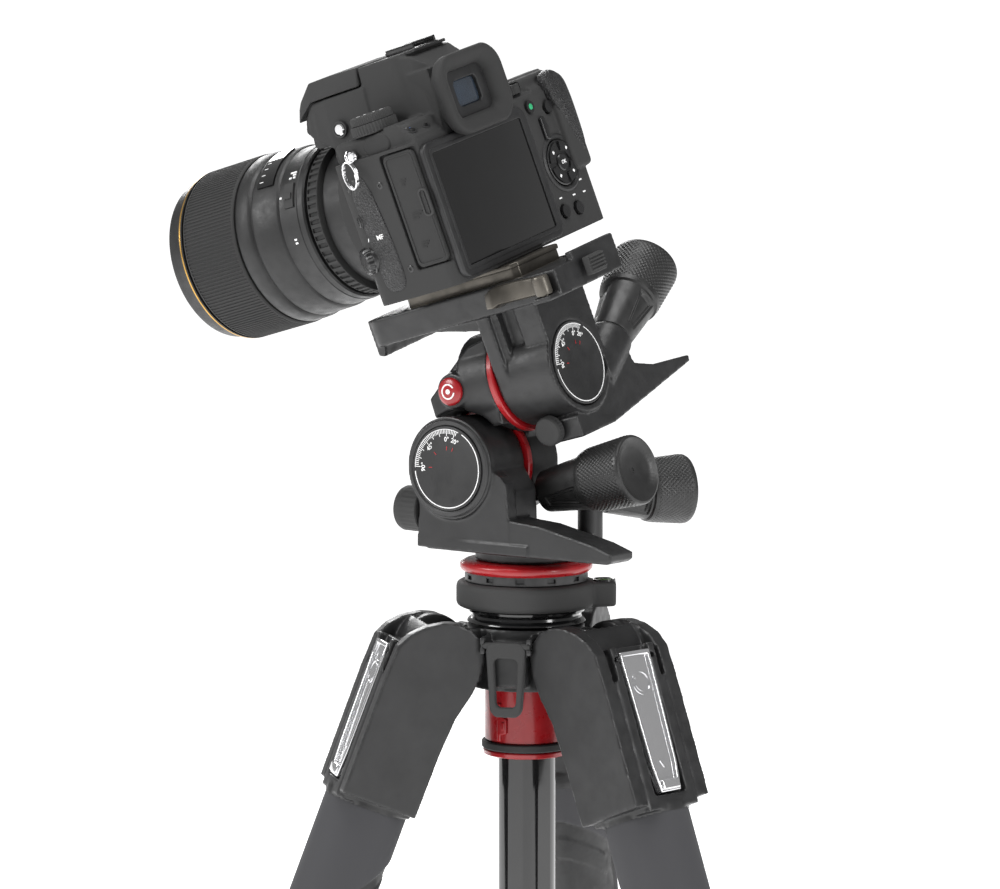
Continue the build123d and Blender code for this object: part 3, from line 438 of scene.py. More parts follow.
class Shape:
    """A mesh under construction, in the millimetres of one local frame."""

    def __init__(self, place: Matrix) -> None:
        """Starts an empty shape.

        Args:
            place: Matrix of the local frame.
        """
        self.place = place
        self.mesh = bmesh.new()

    def closed_rings(self, rows: Sequence[Sequence[Vector]]) -> "Shape":
        """Adds a hollow ring of faces through rows of points, the last row joined to the first.

        Args:
            rows: Rows with the same number of points, each a closed outline in the local frame.

        Returns:
            The shape itself.
        """
        part = bmesh.new()
        rings = [[part.verts.new(point) for point in row] for row in rows]
        count = len(rows[0])
        for one, two in zip(rings, rings[1:] + rings[:1]):
            for index in range(count):
                after = (index + 1) % count
                part.faces.new((one[index], one[after], two[after], two[index]))
        self._absorb(part, Matrix())
        return self

    def _absorb(self, part: bmesh.types.BMesh, at: Matrix, bevel: float = 0.0, steps: int = 3) -> None:
        """Rounds a part's sharp edges, places it and adds it to the shape.

        Args:
            part: Closed mesh in its own frame.
            at: Place of the part in the local frame.
            bevel: Radius of its rounded edges.
            steps: Segments in each rounded edge.
        """
        bmesh.ops.recalc_face_normals(part, faces=part.faces)
        if bevel > 0:
            sharp = [e for e in part.edges if len(e.link_faces) == 2 and e.calc_face_angle(0) > radians(25)]
            bmesh.ops.bevel(
                part, geom=sharp, offset=bevel, segments=steps, profile=0.5, affect="EDGES",
                clamp_overlap=True
            )
        part.transform(self.place @ at)
        if (self.place @ at).determinant() < 0:
            bmesh.ops.reverse_faces(part, faces=part.faces)
        holder = bpy.data.meshes.new("part")
        part.to_mesh(holder)
        part.free()
        self.mesh.from_mesh(holder)
        bpy.data.meshes.remove(holder)

    def block(
        self, x: Point, y: Point, z: Point, bevel: float = 0.0, at: Matrix = Matrix(), steps: int = 3
    ) -> "Shape":
        """Adds a box between two limits along each axis.

        Args:
            x: Lowest and highest X.
            y: Lowest and highest Y.
            z: Lowest and highest Z.
            bevel: Radius of the rounded edges.
            at: Place in the local frame.
            steps: Segments in each rounded edge.

        Returns:
            The shape.
        """
        outline = [(x[0], y[0]), (x[1], y[0]), (x[1], y[1]), (x[0], y[1])]
        return self.prism(outline, z[0], z[1], bevel, at, steps)

    def prism(
        self, outline: Sequence[Point], low: float, high: float, bevel: float = 0.0, at: Matrix = Matrix(),
        steps: int = 3, top_scale: float = 1.0,
    ) -> "Shape":
        """Adds an outline drawn in XY and raised along Z.

        Args:
            outline: Corner points.
            low: Z of the bottom.
            high: Z of the top.
            bevel: Radius of the rounded edges.
            at: Place in the local frame.
            steps: Segments in each rounded edge.
            top_scale: Scale of the top outline about its middle.

        Returns:
            The shape.
        """
        part = bmesh.new()
        mx = sum(p[0] for p in outline) / len(outline)
        my = sum(p[1] for p in outline) / len(outline)
        bottom = [part.verts.new((x, y, low)) for x, y in outline]
        top = [
            part.verts.new((mx + (x - mx) * top_scale, my + (y - my) * top_scale, high)) for x, y in outline
        ]
        part.faces.new(bottom[::-1])
        part.faces.new(top)
        for index in range(len(outline)):
            after = (index + 1) % len(outline)
            part.faces.new((bottom[index], bottom[after], top[after], top[index]))
        self._absorb(part, at, bevel, steps)
        return self

    def frame(
        self, outer: Sequence[Point], inner: Sequence[Point], low: float, high: float, bevel: float = 0.0,
        at: Matrix = Matrix(), steps: int = 3,
    ) -> "Shape":
        """Adds a closed band between two outlines with as many points each.

        Args:
            outer: Outer outline.
            inner: Inner outline.
            low: Z of the bottom.
            high: Z of the top.
            bevel: Radius of the rounded edges.
            at: Place in the local frame.
            steps: Segments in each rounded edge.

        Returns:
            The shape.
        """
        part = bmesh.new()
        loops = [
            [part.verts.new((x, y, z)) for x, y in outline]
            for outline, z in ((outer, low), (outer, high), (inner, high), (inner, low))
        ]
        count = len(outer)
        for index in range(count):
            after = (index + 1) % count
            for side in range(4):
                one, two = loops[side], loops[(side + 1) % 4]
                part.faces.new((one[index], one[after], two[after], two[index]))
        self._absorb(part, at, bevel, steps)
        return self

    def turned(
        self, profile: Sequence[Point], steps: int = 96, at: Matrix = Matrix(),
        relief: Optional[Relief] = None,
        closed: bool = False,
    ) -> "Shape":
        """Adds a solid of revolution about Z.

        Args:
            profile: Points (radius, height) from one end to the other.
            steps: Segments round the axis.
            at: Place in the local frame.
            relief: Height added to the radius at (angle, height).
            closed: True where the profile's last point joins its first.

        Returns:
            The shape.
        """
        part = bmesh.new()
        rows: list[list[bmesh.types.BMVert]] = []
        for radius, height in profile:
            if radius < 1e-6:
                rows.append([part.verts.new((0, 0, height))])
                continue
            row = []
            for step in range(steps):
                angle = 2 * pi * step / steps
                grown = radius + (relief(angle, height) if relief else 0.0)
                row.append(part.verts.new((grown * cos(angle), grown * sin(angle), height)))
            rows.append(row)
        pairs = list(zip(rows, rows[1:])) + ([(rows[-1], rows[0])] if closed else [])
        for one, two in pairs:
            for step in range(steps):
                after = (step + 1) % steps
                if len(one) == 1:
                    part.faces.new((one[0], two[after], two[step]))
                elif len(two) == 1:
                    part.faces.new((one[step], one[after], two[0]))
                else:
                    part.faces.new((one[step], one[after], two[after], two[step]))
        self._absorb(part, at)
        return self

    def arc(
        self, radii: Point, angles: Point, low: float, high: float, at: Matrix = Matrix(), step: float = 3.0
    ) -> "Shape":
        """Adds a thin band along an arc.

        Args:
            radii: Inner and outer radius.
            angles: First and last angle in degrees.
            low: Z of the bottom.
            high: Z of the top.
            at: Place in the local frame.
            step: Largest angle of one segment.

        Returns:
            The shape.
        """
        count = max(1, round(abs(angles[1] - angles[0]) / step))
        turns = [radians(angles[0] + (angles[1] - angles[0]) * i / count) for i in range(count + 1)]
        outline = [(radii[1] * cos(t), radii[1] * sin(t)) for t in turns]
        outline += [(radii[0] * cos(t), radii[0] * sin(t)) for t in reversed(turns)]
        return self.prism(outline, low, high, 0.0, at)

    def wire(self, points: Sequence[Point], radius: float, closed: bool = False,
        at: Matrix = Matrix()) -> "Shape":
        """Adds a round wire through some points.

        Args:
            points: Points of its middle line.
            radius: Radius of the wire.
            closed: True for a loop.
            at: Place in the local frame.

        Returns:
            The shape.
        """
        part = bmesh.new()
        path = [Vector(p) for p in points]
        count, sides = len(path), 12
        rows, up = [], Vector((0.13, 0.29, 0.95))
        for index, point in enumerate(path):
            before = path[index - 1] if (closed or index) else point
            after = path[(index + 1) % count] if (closed or index + 1 < count) else point
            along = (after - before).normalized()
            side = along.cross(up).normalized()
            lift = side.cross(along)
            rows.append([
                part.verts.new(point + radius * (cos(2 * pi * s / sides) * side + sin(2 * pi * s / sides) * lift))
                for s in range(sides)
            ])
        for one, two in list(zip(rows, rows[1:])) + ([(rows[-1], rows[0])] if closed else []):
            for s in range(sides):
                part.faces.new((one[s], one[(s + 1) % sides], two[(s + 1) % sides], two[s]))
        if not closed:
            part.faces.new(rows[0][::-1])
            part.faces.new(rows[-1])
        self._absorb(part, at)
        return self

    def loft(self, sections: Sequence[Sequence[Point]], bevel: float = 0.0, steps: int = 3) -> "Shape":
        """Adds a skin through sections of as many points each, closed at both ends.

        Args:
            sections: Rings of three-dimensional points.
            bevel: Radius of the rounded edges.
            steps: Segments in each rounded edge.

        Returns:
            The shape.
        """
        part = bmesh.new()
        rows = [[part.verts.new(p) for p in ring] for ring in sections]
        count = len(rows[0])
        for one, two in zip(rows, rows[1:]):
            for index in range(count):
                after = (index + 1) % count
                part.faces.new((one[index], one[after], two[after], two[index]))
        part.faces.new(rows[0][::-1])
        part.faces.new(rows[-1])
        self._absorb(part, Matrix(), bevel, steps)
        return self

    def pillow(
        self, outline: Sequence[Point], height: float, at: Matrix = Matrix(), sink: float = 1.0,
        edge: float = 0.16
    ) -> "Shape":
        """Adds a crowned pad with a soft edge.

        Args:
            outline: Outline of the pad in XY.
            height: Rise of its middle.
            at: Place in the local frame.
            sink: Depth of its foot below the surface.
            edge: Share of the outline taken by the rounded edge.

        Returns:
            The shape.
        """
        part = bmesh.new()
        mx = sum(p[0] for p in outline) / len(outline)
        my = sum(p[1] for p in outline) / len(outline)
        levels = [(1.0, -sink)]
        levels += [(1 - edge * (1 - cos(radians(a))), 0.75 * height * sin(radians(a))) for a in range(0, 91,
            15)]
        levels += [(share, height * (1 - 0.25 * (share / (1 - edge)) ** 2)) for share in (0.66, 0.44, 0.2)]
        rows = [
            [part.verts.new((mx + (x - mx) * share, my + (y - my) * share, z)) for x, y in outline]
            for share, z in levels
        ]
        count = len(outline)
        for one, two in zip(rows, rows[1:]):
            for index in range(count):
                after = (index + 1) % count
                part.faces.new((one[index], one[after], two[after], two[index]))
        part.faces.new(rows[0][::-1])
        part.faces.new(rows[-1])
        self._absorb(part, at)
        return self

    def text(self, words: str, size: float, thickness: float, at: Matrix) -> "Shape":
        """Adds raised lettering, centred on its origin.

        Args:
            words: The letters.
            size: Height of a line in millimetres.
            thickness: Thickness of the paint.
            at: Place in the local frame.

        Returns:
            The shape.
        """
        curve = bpy.data.curves.new("words", "FONT")
        curve.body = words
        curve.size = size
        curve.extrude = thickness / 2
        curve.offset = size * 0.012
        curve.align_x = "CENTER"
        curve.align_y = "CENTER"
        curve.resolution_u = 3
        holder = bpy.data.objects.new("words", curve)
        letters = bpy.data.meshes.new_from_object(holder)
        part = bmesh.new()
        part.from_mesh(letters)
        bmesh.ops.remove_doubles(part, verts=part.verts, dist=1e-4)
        bpy.data.objects.remove(holder)
        bpy.data.curves.remove(curve)
        bpy.data.meshes.remove(letters)
        self._absorb(part, at)
        return self

    def cad(self, node: str) -> "Shape":
        """Adds the solid of a CAD node, which is already in metres and in place.

        Args:
            node: Name of the node.

        Returns:
            The shape.
        """
        part = bmesh.new()
        part.from_mesh(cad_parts[node].data)
        bmesh.ops.remove_doubles(part, verts=part.verts, dist=2e-6)
        self._absorb(part, self.place.inverted())
        return self

    def mesh_data(self, name: str) -> bpy.types.Mesh:
        """Turns the shape into mesh data and frees it.

        Args:
            name: Name of the mesh.

        Returns:
            The mesh in metres.
        """
        data = bpy.data.meshes.new(name)
        self.mesh.to_mesh(data)
        self.mesh.free()
        return data

    def cast(self, name: str, voxel: float, passes: int, floor: Optional[float] = None) -> bpy.types.Mesh:
        """Fuses the shape's solids into one skin with softened edges, as a casting has.

        Args:
            name: Name of the mesh.
            voxel: Size of the skin's faces in millimetres.
            passes: Passes of smoothing.
            floor: Local Z below which the skin is left out.

        Returns:
            The mesh in metres.
        """
        raw = bpy.data.objects.new(name + "_raw", self.mesh_data(name + "_raw"))
        bpy.context.scene.collection.objects.link(raw)
        skin = raw.modifiers.new("skin", "REMESH")
        skin.mode = "VOXEL"
        skin.voxel_size = voxel * MM
        soft = raw.modifiers.new("soft", "SMOOTH")
        soft.factor = 0.5
        soft.iterations = passes
        depsgraph = bpy.context.evaluated_depsgraph_get()
        data = bpy.data.meshes.new_from_object(raw.evaluated_get(depsgraph))
        data.name = name
        bpy.data.objects.remove(raw)
        if floor is not None:
            trimmed = bmesh.new()
            trimmed.from_mesh(data)
            back = self.place.inverted()
            gone = [v for v in trimmed.verts if (back @ v.co).z < floor]
            bmesh.ops.delete(trimmed, geom=gone, context="VERTS")
            trimmed.to_mesh(data)
            trimmed.free()
        return data


def put(
    name: str, data: bpy.types.Mesh, finish: Finish, body: str, stands_for: Iterable[str] = (),
    sharp: float = 32.0
) -> bpy.types.Object:
    """Places a finished piece on its CAD body.

    Args:
        name: Name of the piece.
        data: Mesh in metres.
        finish: Its finish.
        body: CAD body that it moves with.
        stands_for: CAD nodes that it replaces.
        sharp: Angle above which an edge stays sharp, in degrees.

    Returns:
        The new object.
    """
    piece = bpy.data.objects.new(name, data)
    bpy.context.scene.collection.objects.link(piece)
    data.materials.clear()
    data.materials.append(finish.material())
    data.shade_smooth()
    data.set_sharp_from_angle(angle=radians(sharp))
    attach(piece, body)
    nodes = list(stands_for)
    if nodes:
        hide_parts(*nodes)
    LOG.info("%s rides on %s with %d faces", name, body, len(data.polygons))
    return piece


def dress(finish: Finish, *nodes: str) -> None:
    """Gives CAD nodes that stay visible their finish.

    Args:
        finish: The finish.
        nodes: Names of the nodes.
    """
    for node in nodes:
        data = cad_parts[node].data
        data.materials.clear()
        data.materials.append(finish.material())
        LOG.info("%s keeps its shape in %s", node, finish.name)


# ------------------------------------------------------------------------ tripod
@dataclass
class TripodShoulder:
    """Casting that carries the legs, with the red sleeve, strap loop and clamp knob."""

    stance: Stance
    bore: float = 14.5
    top: float = -54.0
    sleeve_radius: float = 19.5
    ring_radius: float = 21.0
    latch_azimuth: float = -2.7
    loop_azimuth: float = 21.3
    loop_reach: float = 34.5
    loop_size: tuple[float, float, float] = (19.0, 35.0, 4.0)
    knob_azimuth: float = 261.3
    knob_radius: float = 11.0

    def build(self) -> None:
        """Makes every piece of the shoulder."""
        self._casting()
        self._sleeve()
        self._loop()
        self._knob()
        dress(STEEL, "shoulder_screws")
        dress(DARK_STEEL, "pivot_bolts")

    def _casting(self) -> None:
        """Makes the lobed casting with a raised collar round each torque screw."""
        body = Shape(self.stance.pan()).cad("shoulder_casting")
        put("shoulder_skin", body.cast("shoulder_skin", 0.8, 5), CAST_BLACK, "root", ["shoulder_casting"])
        for number, azimuth in enumerate(self.stance.leg_azimuths, 1):
            way = radians(azimuth)
            spot = facing((36.0 * cos(way), 36.0 * sin(way), -25.2), (0, 0, 1), (cos(way), sin(way), 0))
            rim = Shape(self.stance.pan())
            rim.turned([(5.3, -1.0), (7.4, -1.0), (7.2, 0.5), (6.6, 0.9), (5.6, 0.8), (5.3, 0.4)], 48, spot,
                closed=True)
            put(f"screw_rim_{number}", rim.mesh_data("screw_rim"), CAST_BLACK, "root")

    def _sleeve(self) -> None:
        """Makes the red sleeve with its latch and the black ring below it."""
        r, t = self.sleeve_radius, self.top
        red = Shape(self.stance.pan())
        red.turned(
            [
                (self.bore, t), (r - 0.3, t), (r, t - 0.4), (r, t - 25.6), (r - 1.2, t - 26.2),
                (r - 1.2, t - 30.0),
                (r + 0.5, t - 30.3), (r + 0.9, t - 30.9), (r + 0.7, t - 32.6), (r, t - 33.0),
                (self.bore, t - 33.0),
            ],
            144, closed=True,
        )
        way = radians(self.latch_azimuth)
        out = (cos(way), sin(way), 0)
        spot = facing((18.6 * out[0], 18.6 * out[1], t - 18.0), out, (-out[1], out[0], 0))
        red.prism([(-1.2, -7), (0.8, -7), (0.8, -4), (4.2, -3), (4.2, 4), (0.8, 5), (0.8, 11), (-1.2, 11)], 0,
            2.1, 0.5, spot)
        red.prism([(1.6, -1.5), (3.4, -1.5), (3.4, 2.4), (1.6, 2.4)], 1.0, 2.6, 0.4, spot)
        put("sleeve_red", red.mesh_data("sleeve_red"), RED_PAINT, "root", ["column_sleeve"])
        black = Shape(self.stance.pan())
        top = t - 26.4
        black.turned(
            [(r - 1, top - 3.5), (20.5, top - 3.5), (21, top - 3), (21, top - 0.5), (20.5, top),
                (r - 1, top)],
            120, closed=True,
        )
        put("sleeve_ring", black.mesh_data("sleeve_ring"), MOULDED, "root")

    def _loop(self) -> None:
        """Makes the hinged strap loop, narrower towards its foot, with its pin."""
        way = radians(self.loop_azimuth)
        out = (cos(way), sin(way), 0)
        width, height, thick = self.loop_size
        spot = facing((self.loop_reach * out[0], self.loop_reach * out[1], -31.0), out, (-out[1], out[0], 0))

        def taper(points: list[tuple[float, float]]) -> list[tuple[float, float]]:
            """Narrows an outline towards its lower end."""
            return [(x * (1 - 0.3 * max(0.0, 0.35 - y / height) ** 1.5), y + 1.8 - height / 2) for x,
                y in points]

        loop = Shape(self.stance.pan())
        inner = [(x, y - 1.5) for x, y in rounded(width - 7.5, height - 12, 2.6)]
        loop.frame(taper(rounded(width, height, 4.5)), taper(inner), 0.0, thick, 1.0, spot)
        pin = [(0, -11.4), (1.6, -11.4), (1.6, 11.4), (0, 11.4)]
        loop.turned(pin, 24, spot @ Matrix.Translation((0, 0, thick / 2)) @ Matrix.Rotation(pi / 2, 4, "Y"))
        put("strap_loop", loop.mesh_data("strap_loop"), MOULDED, "accessory_loop", ["accessory_loop"])

    def _knob(self) -> None:
        """Makes the five-lobed knob that clamps the column."""
        way = radians(self.knob_azimuth)
        out = (cos(way), sin(way), 0)
        spot = facing((35.9 * out[0], 35.9 * out[1], -40.0), out, (-out[1], out[0], 0))
        r = self.knob_radius
        profile = [(0, -3), (4, -3), (4, 0.1), (r - 2, 0.2), (r - 0.4, 1.4), (r, 3), (r, 9), (r - 0.8, 11),
            (r - 3, 12)]
        profile += [(4.2, 12), (3.6, 11.2), (0, 11.2)]

        def lobes(angle: float, height: float) -> float:
            """Depth of the finger hollows round the knob."""
            return -1.1 * max(0.0, cos(5 * angle)) * (1.0 if height > 0.15 else 0.0)

        knob = Shape(self.stance.pan()).turned(profile, 120, spot, lobes)
        put("column_clamp_knob", knob.mesh_data("column_clamp_knob"), MOULDED, "clamp_knob", ["clamp_knob"])


@dataclass
class CentreColumn:
    """Sliding column with its glossy top collar and the turning bubble level."""

    stance: Stance
    radius: float = 14.0
    flat_reach: float = 13.5
    length: tuple[float, float] = (-396.0, -24.0)
    level_radius: float = 33.0
    tab_azimuth: float = 126.0

    def build(self) -> None:
        """Makes the tube, the collar and the level ring."""
        self._tube()
        self._collar()
        self._level()

    def _tube(self) -> None:
        """Makes the tube with six shallow flats along it."""

        def flats(angle: float, height: float) -> float:
            """Radius lost where a flat crosses the round tube."""
            turn = (angle - radians(14.3) + pi / 6) % (pi / 3) - pi / 6
            return min(0.0, self.flat_reach / cos(turn) - self.radius)

        low, high = self.length
        tube = Shape(self.stance.pan())
        tube.turned(
            [(0, low), (12.6, low), (13.6, low + 0.8), (14, low + 2), (14, high - 0.5), (13.6, high),
                (0, high)],
            180, relief=flats,
        )
        put("column_skin", tube.mesh_data("column_skin"), TUBE_BLACK, "column", ["column_tube"], sharp=12.0)

    def _collar(self) -> None:
        """Makes the waisted collar on top of the column."""
        collar = Shape(self.stance.pan()).turned(
            [
                (0, -24), (27.3, -24), (28, -23.5), (27.6, -22.6), (26.3, -21.4), (26.1, -20.2),
                (26.6, -19.2),
                (27.6, -18.6), (27.8, -17.6), (27.3, -17), (22.5, -17), (22.5, -4), (0, -4),
            ],
            144,
        )
        put("column_collar", collar.mesh_data("column_collar"), TUBE_BLACK, "column", ["column_top_disc"])

    def _level(self) -> None:
        """Makes the level ring with its tab, grooves and bubble vial."""
        r = self.level_radius
        ring = Shape(self.stance.pan())
        ring.turned(
            [
                (22.9, -16.8), (r - 2.4, -16.8), (r - 0.6, -15.8), (r, -14.4), (r, -7.2), (r - 0.5, -5.4),
                (r - 2, -4.5), (22.9, -4.5),
            ],
            144, closed=True,
        )
        turn = Matrix.Rotation(radians(self.tab_azimuth), 4, "Z")
        ring.prism([(24, -11), (34, -8.5), (42.3, -6), (42.3, 6), (34, 8.5), (24, 11)], -16.6, -4.8, 1.4,
            turn)
        put("level_skin", ring.cast("level_skin", 0.55, 3), MOULDED, "level_ring", ["level_ring"])
        spot = turn @ Matrix.Translation((36.6, 0, -4.9))
        rim = Shape(self.stance.pan()).turned([(4.3, -1), (5.6, -1), (5.4, 0.8), (4.9, 1), (4.3, 0.7)], 48,
            spot, closed=True)
        put("level_rim", rim.mesh_data("level_rim"), KEY_BLACK, "level_ring")
        vial = Shape(self.stance.pan()).turned([(0, -1), (4.3, -1), (4.2, 0.3), (2.5, 0.7), (0, 0.8)], 40,
            spot)
        put("level_vial", vial.mesh_data("level_vial"), VIAL_GREEN, "level_ring")
        bubble = Shape(self.stance.pan()).arc((1.5, 1.9), (0, 360), 0.6, 0.95, spot, 12)
        put("level_mark", bubble.mesh_data("level_mark"), KEY_BLACK, "level_ring")


@dataclass
class Leg:
    """One telescopic leg: yoke, angle selector, grip, three tubes, two locks and a foot."""

    stance: Stance
    number: int
    offset: float = 8.0
    yoke_end: float = -78.0
    grip_end: float = -250.0
    grip_radius: float = 20.0
    selector_face: float = 28.3
    upper_collar: tuple[float, float] = (-475.0, -440.0)
    lower_collar: tuple[float, float] = (-512.0, -477.0)
    foot_top: float = -545.0
    sole: float = -579.0
    place: Matrix = field(init=False)

    def __post_init__(self) -> None:
        """Finds the leg's matrix."""
        self.place = self.stance.leg(self.number)

    def build(self) -> None:
        """Makes every piece of the leg."""
        self._yoke()
        self._selector()
        self._grip()
        self._tubes()
        self._locks()
        self._foot()

    def _named(self, piece: str) -> str:
        """Name of one of the leg's pieces."""
        return f"leg_{self.number}_{piece}"

    def _yoke(self) -> None:
        """Makes the cast yoke with its side ridges, down to the grip."""
        body = Shape(self.place).cad(self._named("upper_section"))
        cheek = [(-15.8, -2), (-14.4, 6.6), (-10, 12.2), (-4, 15.3), (3, 15.8), (10, 14), (17.5, 9.5),
            (23, 4), (26.6, -3)]
        cheek += [(27.3, -20), (27.3, -75), (-9.8, -76), (-10.2, -44), (-11.5, -26), (-15, -12)]
        for side in (-1, 1):
            y = side * 18.3
            body.prism(cheek, min(0, side), max(0, side), 0.0, facing((0, y, 0), (0, -1, 0), (1, 0, 0)))
            body.prism(cheek, min(0, -side * 6.4), max(0, -side * 6.4), 0.0,
                facing((0, y, 0), (0, -1, 0), (1, 0, 0)))
        body.turned([(0, -81), (19.6, -81), (20.2, -79), (20.2, -76), (19.0, -72), (0, -70)], 96,
                    Matrix.Translation((self.offset, 0, 0)))
        data = body.cast(self._named("yoke_skin"), 0.7, 4, -79.5)
        put(self._named("yoke_skin"), data, CAST_BLACK, self._named("").rstrip("_"),
            [self._named("upper_section")])

    def _selector(self) -> None:
        """Makes the bright angle selector: a tapered plate with a rim, a medallion and a pull mark."""
        spot = facing((self.selector_face - 4.4, 0, 0), (1, 0, 0), (0, 1, 0))
        outline = [(-9.9, -4), (9.9, -4), (9.9, -10), (8.4, -58), (6.4, -70.6), (-6.4, -70.6), (-8.4, -58),
            (-9.9, -10)]
        inset = [(x * 0.8, y * 0.93 - 2.4) for x, y in outline]
        plate = Shape(self.place).prism(outline, 0.2, 3.3, 0.7, spot)
        plate.frame(outline, inset, 2.2, 4.4, 0.6, spot)
        medal = spot @ Matrix.Translation((0, -19, 3.2))
        plate.arc((5.0, 5.7), (0, 360), -0.2, 0.45, medal, 6)
        plate.arc((0.01, 4.1), (0, 360), -0.2, 0.3, medal, 6)
        plate.prism([(-2, -56), (2, -56), (0, -59.5)], 3.0, 3.7, 0.15, spot)
        plate.prism([(-6, -65), (6, -65), (5.6, -69.8), (-5.6, -69.8)], 3.0, 5.6, 0.9, spot)
        name = self._named("selector")
        put(name + "_plate", plate.mesh_data(name), ALLOY, name, [name])

    def _grip(self) -> None:
        """Makes the rubber grip, sunk to a smooth panel on its inner side."""
        top, end, r = self.yoke_end, self.grip_end, self.grip_radius
        rows = 150

        def panel(angle: float, height: float) -> float:
            """Depth of the smooth inner panel at a point of the grip."""
            turn = abs((angle + pi) % (2 * pi) - pi)
            if turn < radians(86):
                return 0.0
            edge = top - 20 - 26 * ((pi - turn) / radians(94)) ** 1.6
            inward = min(1.0, (turn - radians(86)) / radians(4))
            depth = min(1.0, max(0.0, (edge - height) / 1.2)) * min(1.0, max(0.0, (height - end - 14) / 1.2))
            ridge = 0.5 if abs((edge - height) - 16) < 6 and turn > radians(112) else 0.0
            return -1.2 * inward * depth * (1 - ridge)

        profile = [(14.7, top), (r - 0.9, top), (r - 0.2, top - 0.5)]
        profile += [(r, top - 1.2 - (top - end - 3) * i / rows) for i in range(rows + 1)]
        profile += [(r - 0.6, end + 0.8), (r - 1.8, end), (14.7, end)]
        at = Matrix.Translation((self.offset, 0, 0))
        data = Shape(self.place).turned(profile, 168, at, panel,
            closed=True).mesh_data(self._named("grip_skin"))
        grip = put(self._named("grip_skin"), data, GRIP, self._named("").rstrip("_"), [self._named("grip")])
        grip.data.materials.append(GRIP_SMOOTH.material())
        back = (self.place @ at).inverted()
        for face in grip.data.polygons:
            local = back @ face.center
            if hypot(local.x, local.y) < r - 0.5 and end + 2 < local.z < top - 2:
                face.material_index = 1

    def _tubes(self) -> None:
        """Makes the three tubes with the clamps at the ends of two of them."""
        at = Matrix.Translation((self.offset, 0, 0))
        rows = (
            ("upper_tube", self._named("").rstrip("_"), 14.6, -79.0, self.upper_collar, ()),
            ("middle_tube", self._named("middle"), 12.4, -62.0, self.lower_collar,
                (self._named("middle_section"),)),
        )
        for piece, body, r, top, (low, high), nodes in rows:
            c, e = r + 2.6, r + 7.9
            inner = r - 1.0
            profile = [(inner, low), (e - 0.6, low), (e, low + 0.6), (e, low + 3.4), (e - 0.6, low + 4),
                (c, low + 4.1)]
            profile += [(c, high - 4.1), (e - 0.6, high - 4), (e, high - 3.4), (e, high - 0.6),
                (e - 0.6, high)]
            profile += [(c, high + 0.2), (r + 0.4, high + 1.4), (r, high + 1.6), (r, top), (inner, top)]
            tube = Shape(self.place).turned(profile, 96, at, closed=True)
            put(self._named(piece), tube.mesh_data(piece), TUBE_BLACK, body, nodes)
        thin = Shape(self.place).turned([(0, -546), (10.2, -546), (10.2, -66.4), (9.8, -66), (0, -66)], 72,
            at)
        put(self._named("lower_tube"), thin.mesh_data("lower_tube"), TUBE_BLACK, self._named("lower"),
            [self._named("lower_section")])

    def _locks(self) -> None:
        """Makes the wrapped lock levers with their finger lips and rounded edges."""
        for kind, r, (low, high) in (("upper", 14.6, self.upper_collar), ("lower", 12.4, self.lower_collar)):
            name = self._named(f"{kind}_lever")
            lever = Shape(self.place).cad(name)
            at = Matrix.Translation((self.offset, 0, 0))
            lever.arc((r + 5.2, r + 7.6), (-46, -34), low + 6, high - 6, at)
            put(name + "_skin", lever.cast(name, 0.45, 4), MOULDED, name, [name])

    def _foot(self) -> None:
        """Makes the rubber foot, cut flat where it stands on the floor."""
        slope = sin(radians(self.stance.leg_spread)) / cos(radians(self.stance.leg_spread))
        rows = []
        for share, r in ((0, 10.8), (0.02, 12.2), (0.1, 13), (0.3, 13), (0.34, 12.2), (0.42, 12.2),
            (0.46, 13), (0.9, 13), (1, 12.2)):
            ring = []
            for step in range(48):
                turn = 2 * pi * step / 48
                x, y = r * cos(turn), r * sin(turn)
                bottom = self.sole - x * slope
                ring.append((self.offset + x, y, self.foot_top + (bottom - self.foot_top) * share))
            rows.append(ring)
        foot = Shape(self.place).loft(rows)
        put(self._named("foot"), foot.mesh_data("foot"), SOFT_BLACK, self._named("lower"))


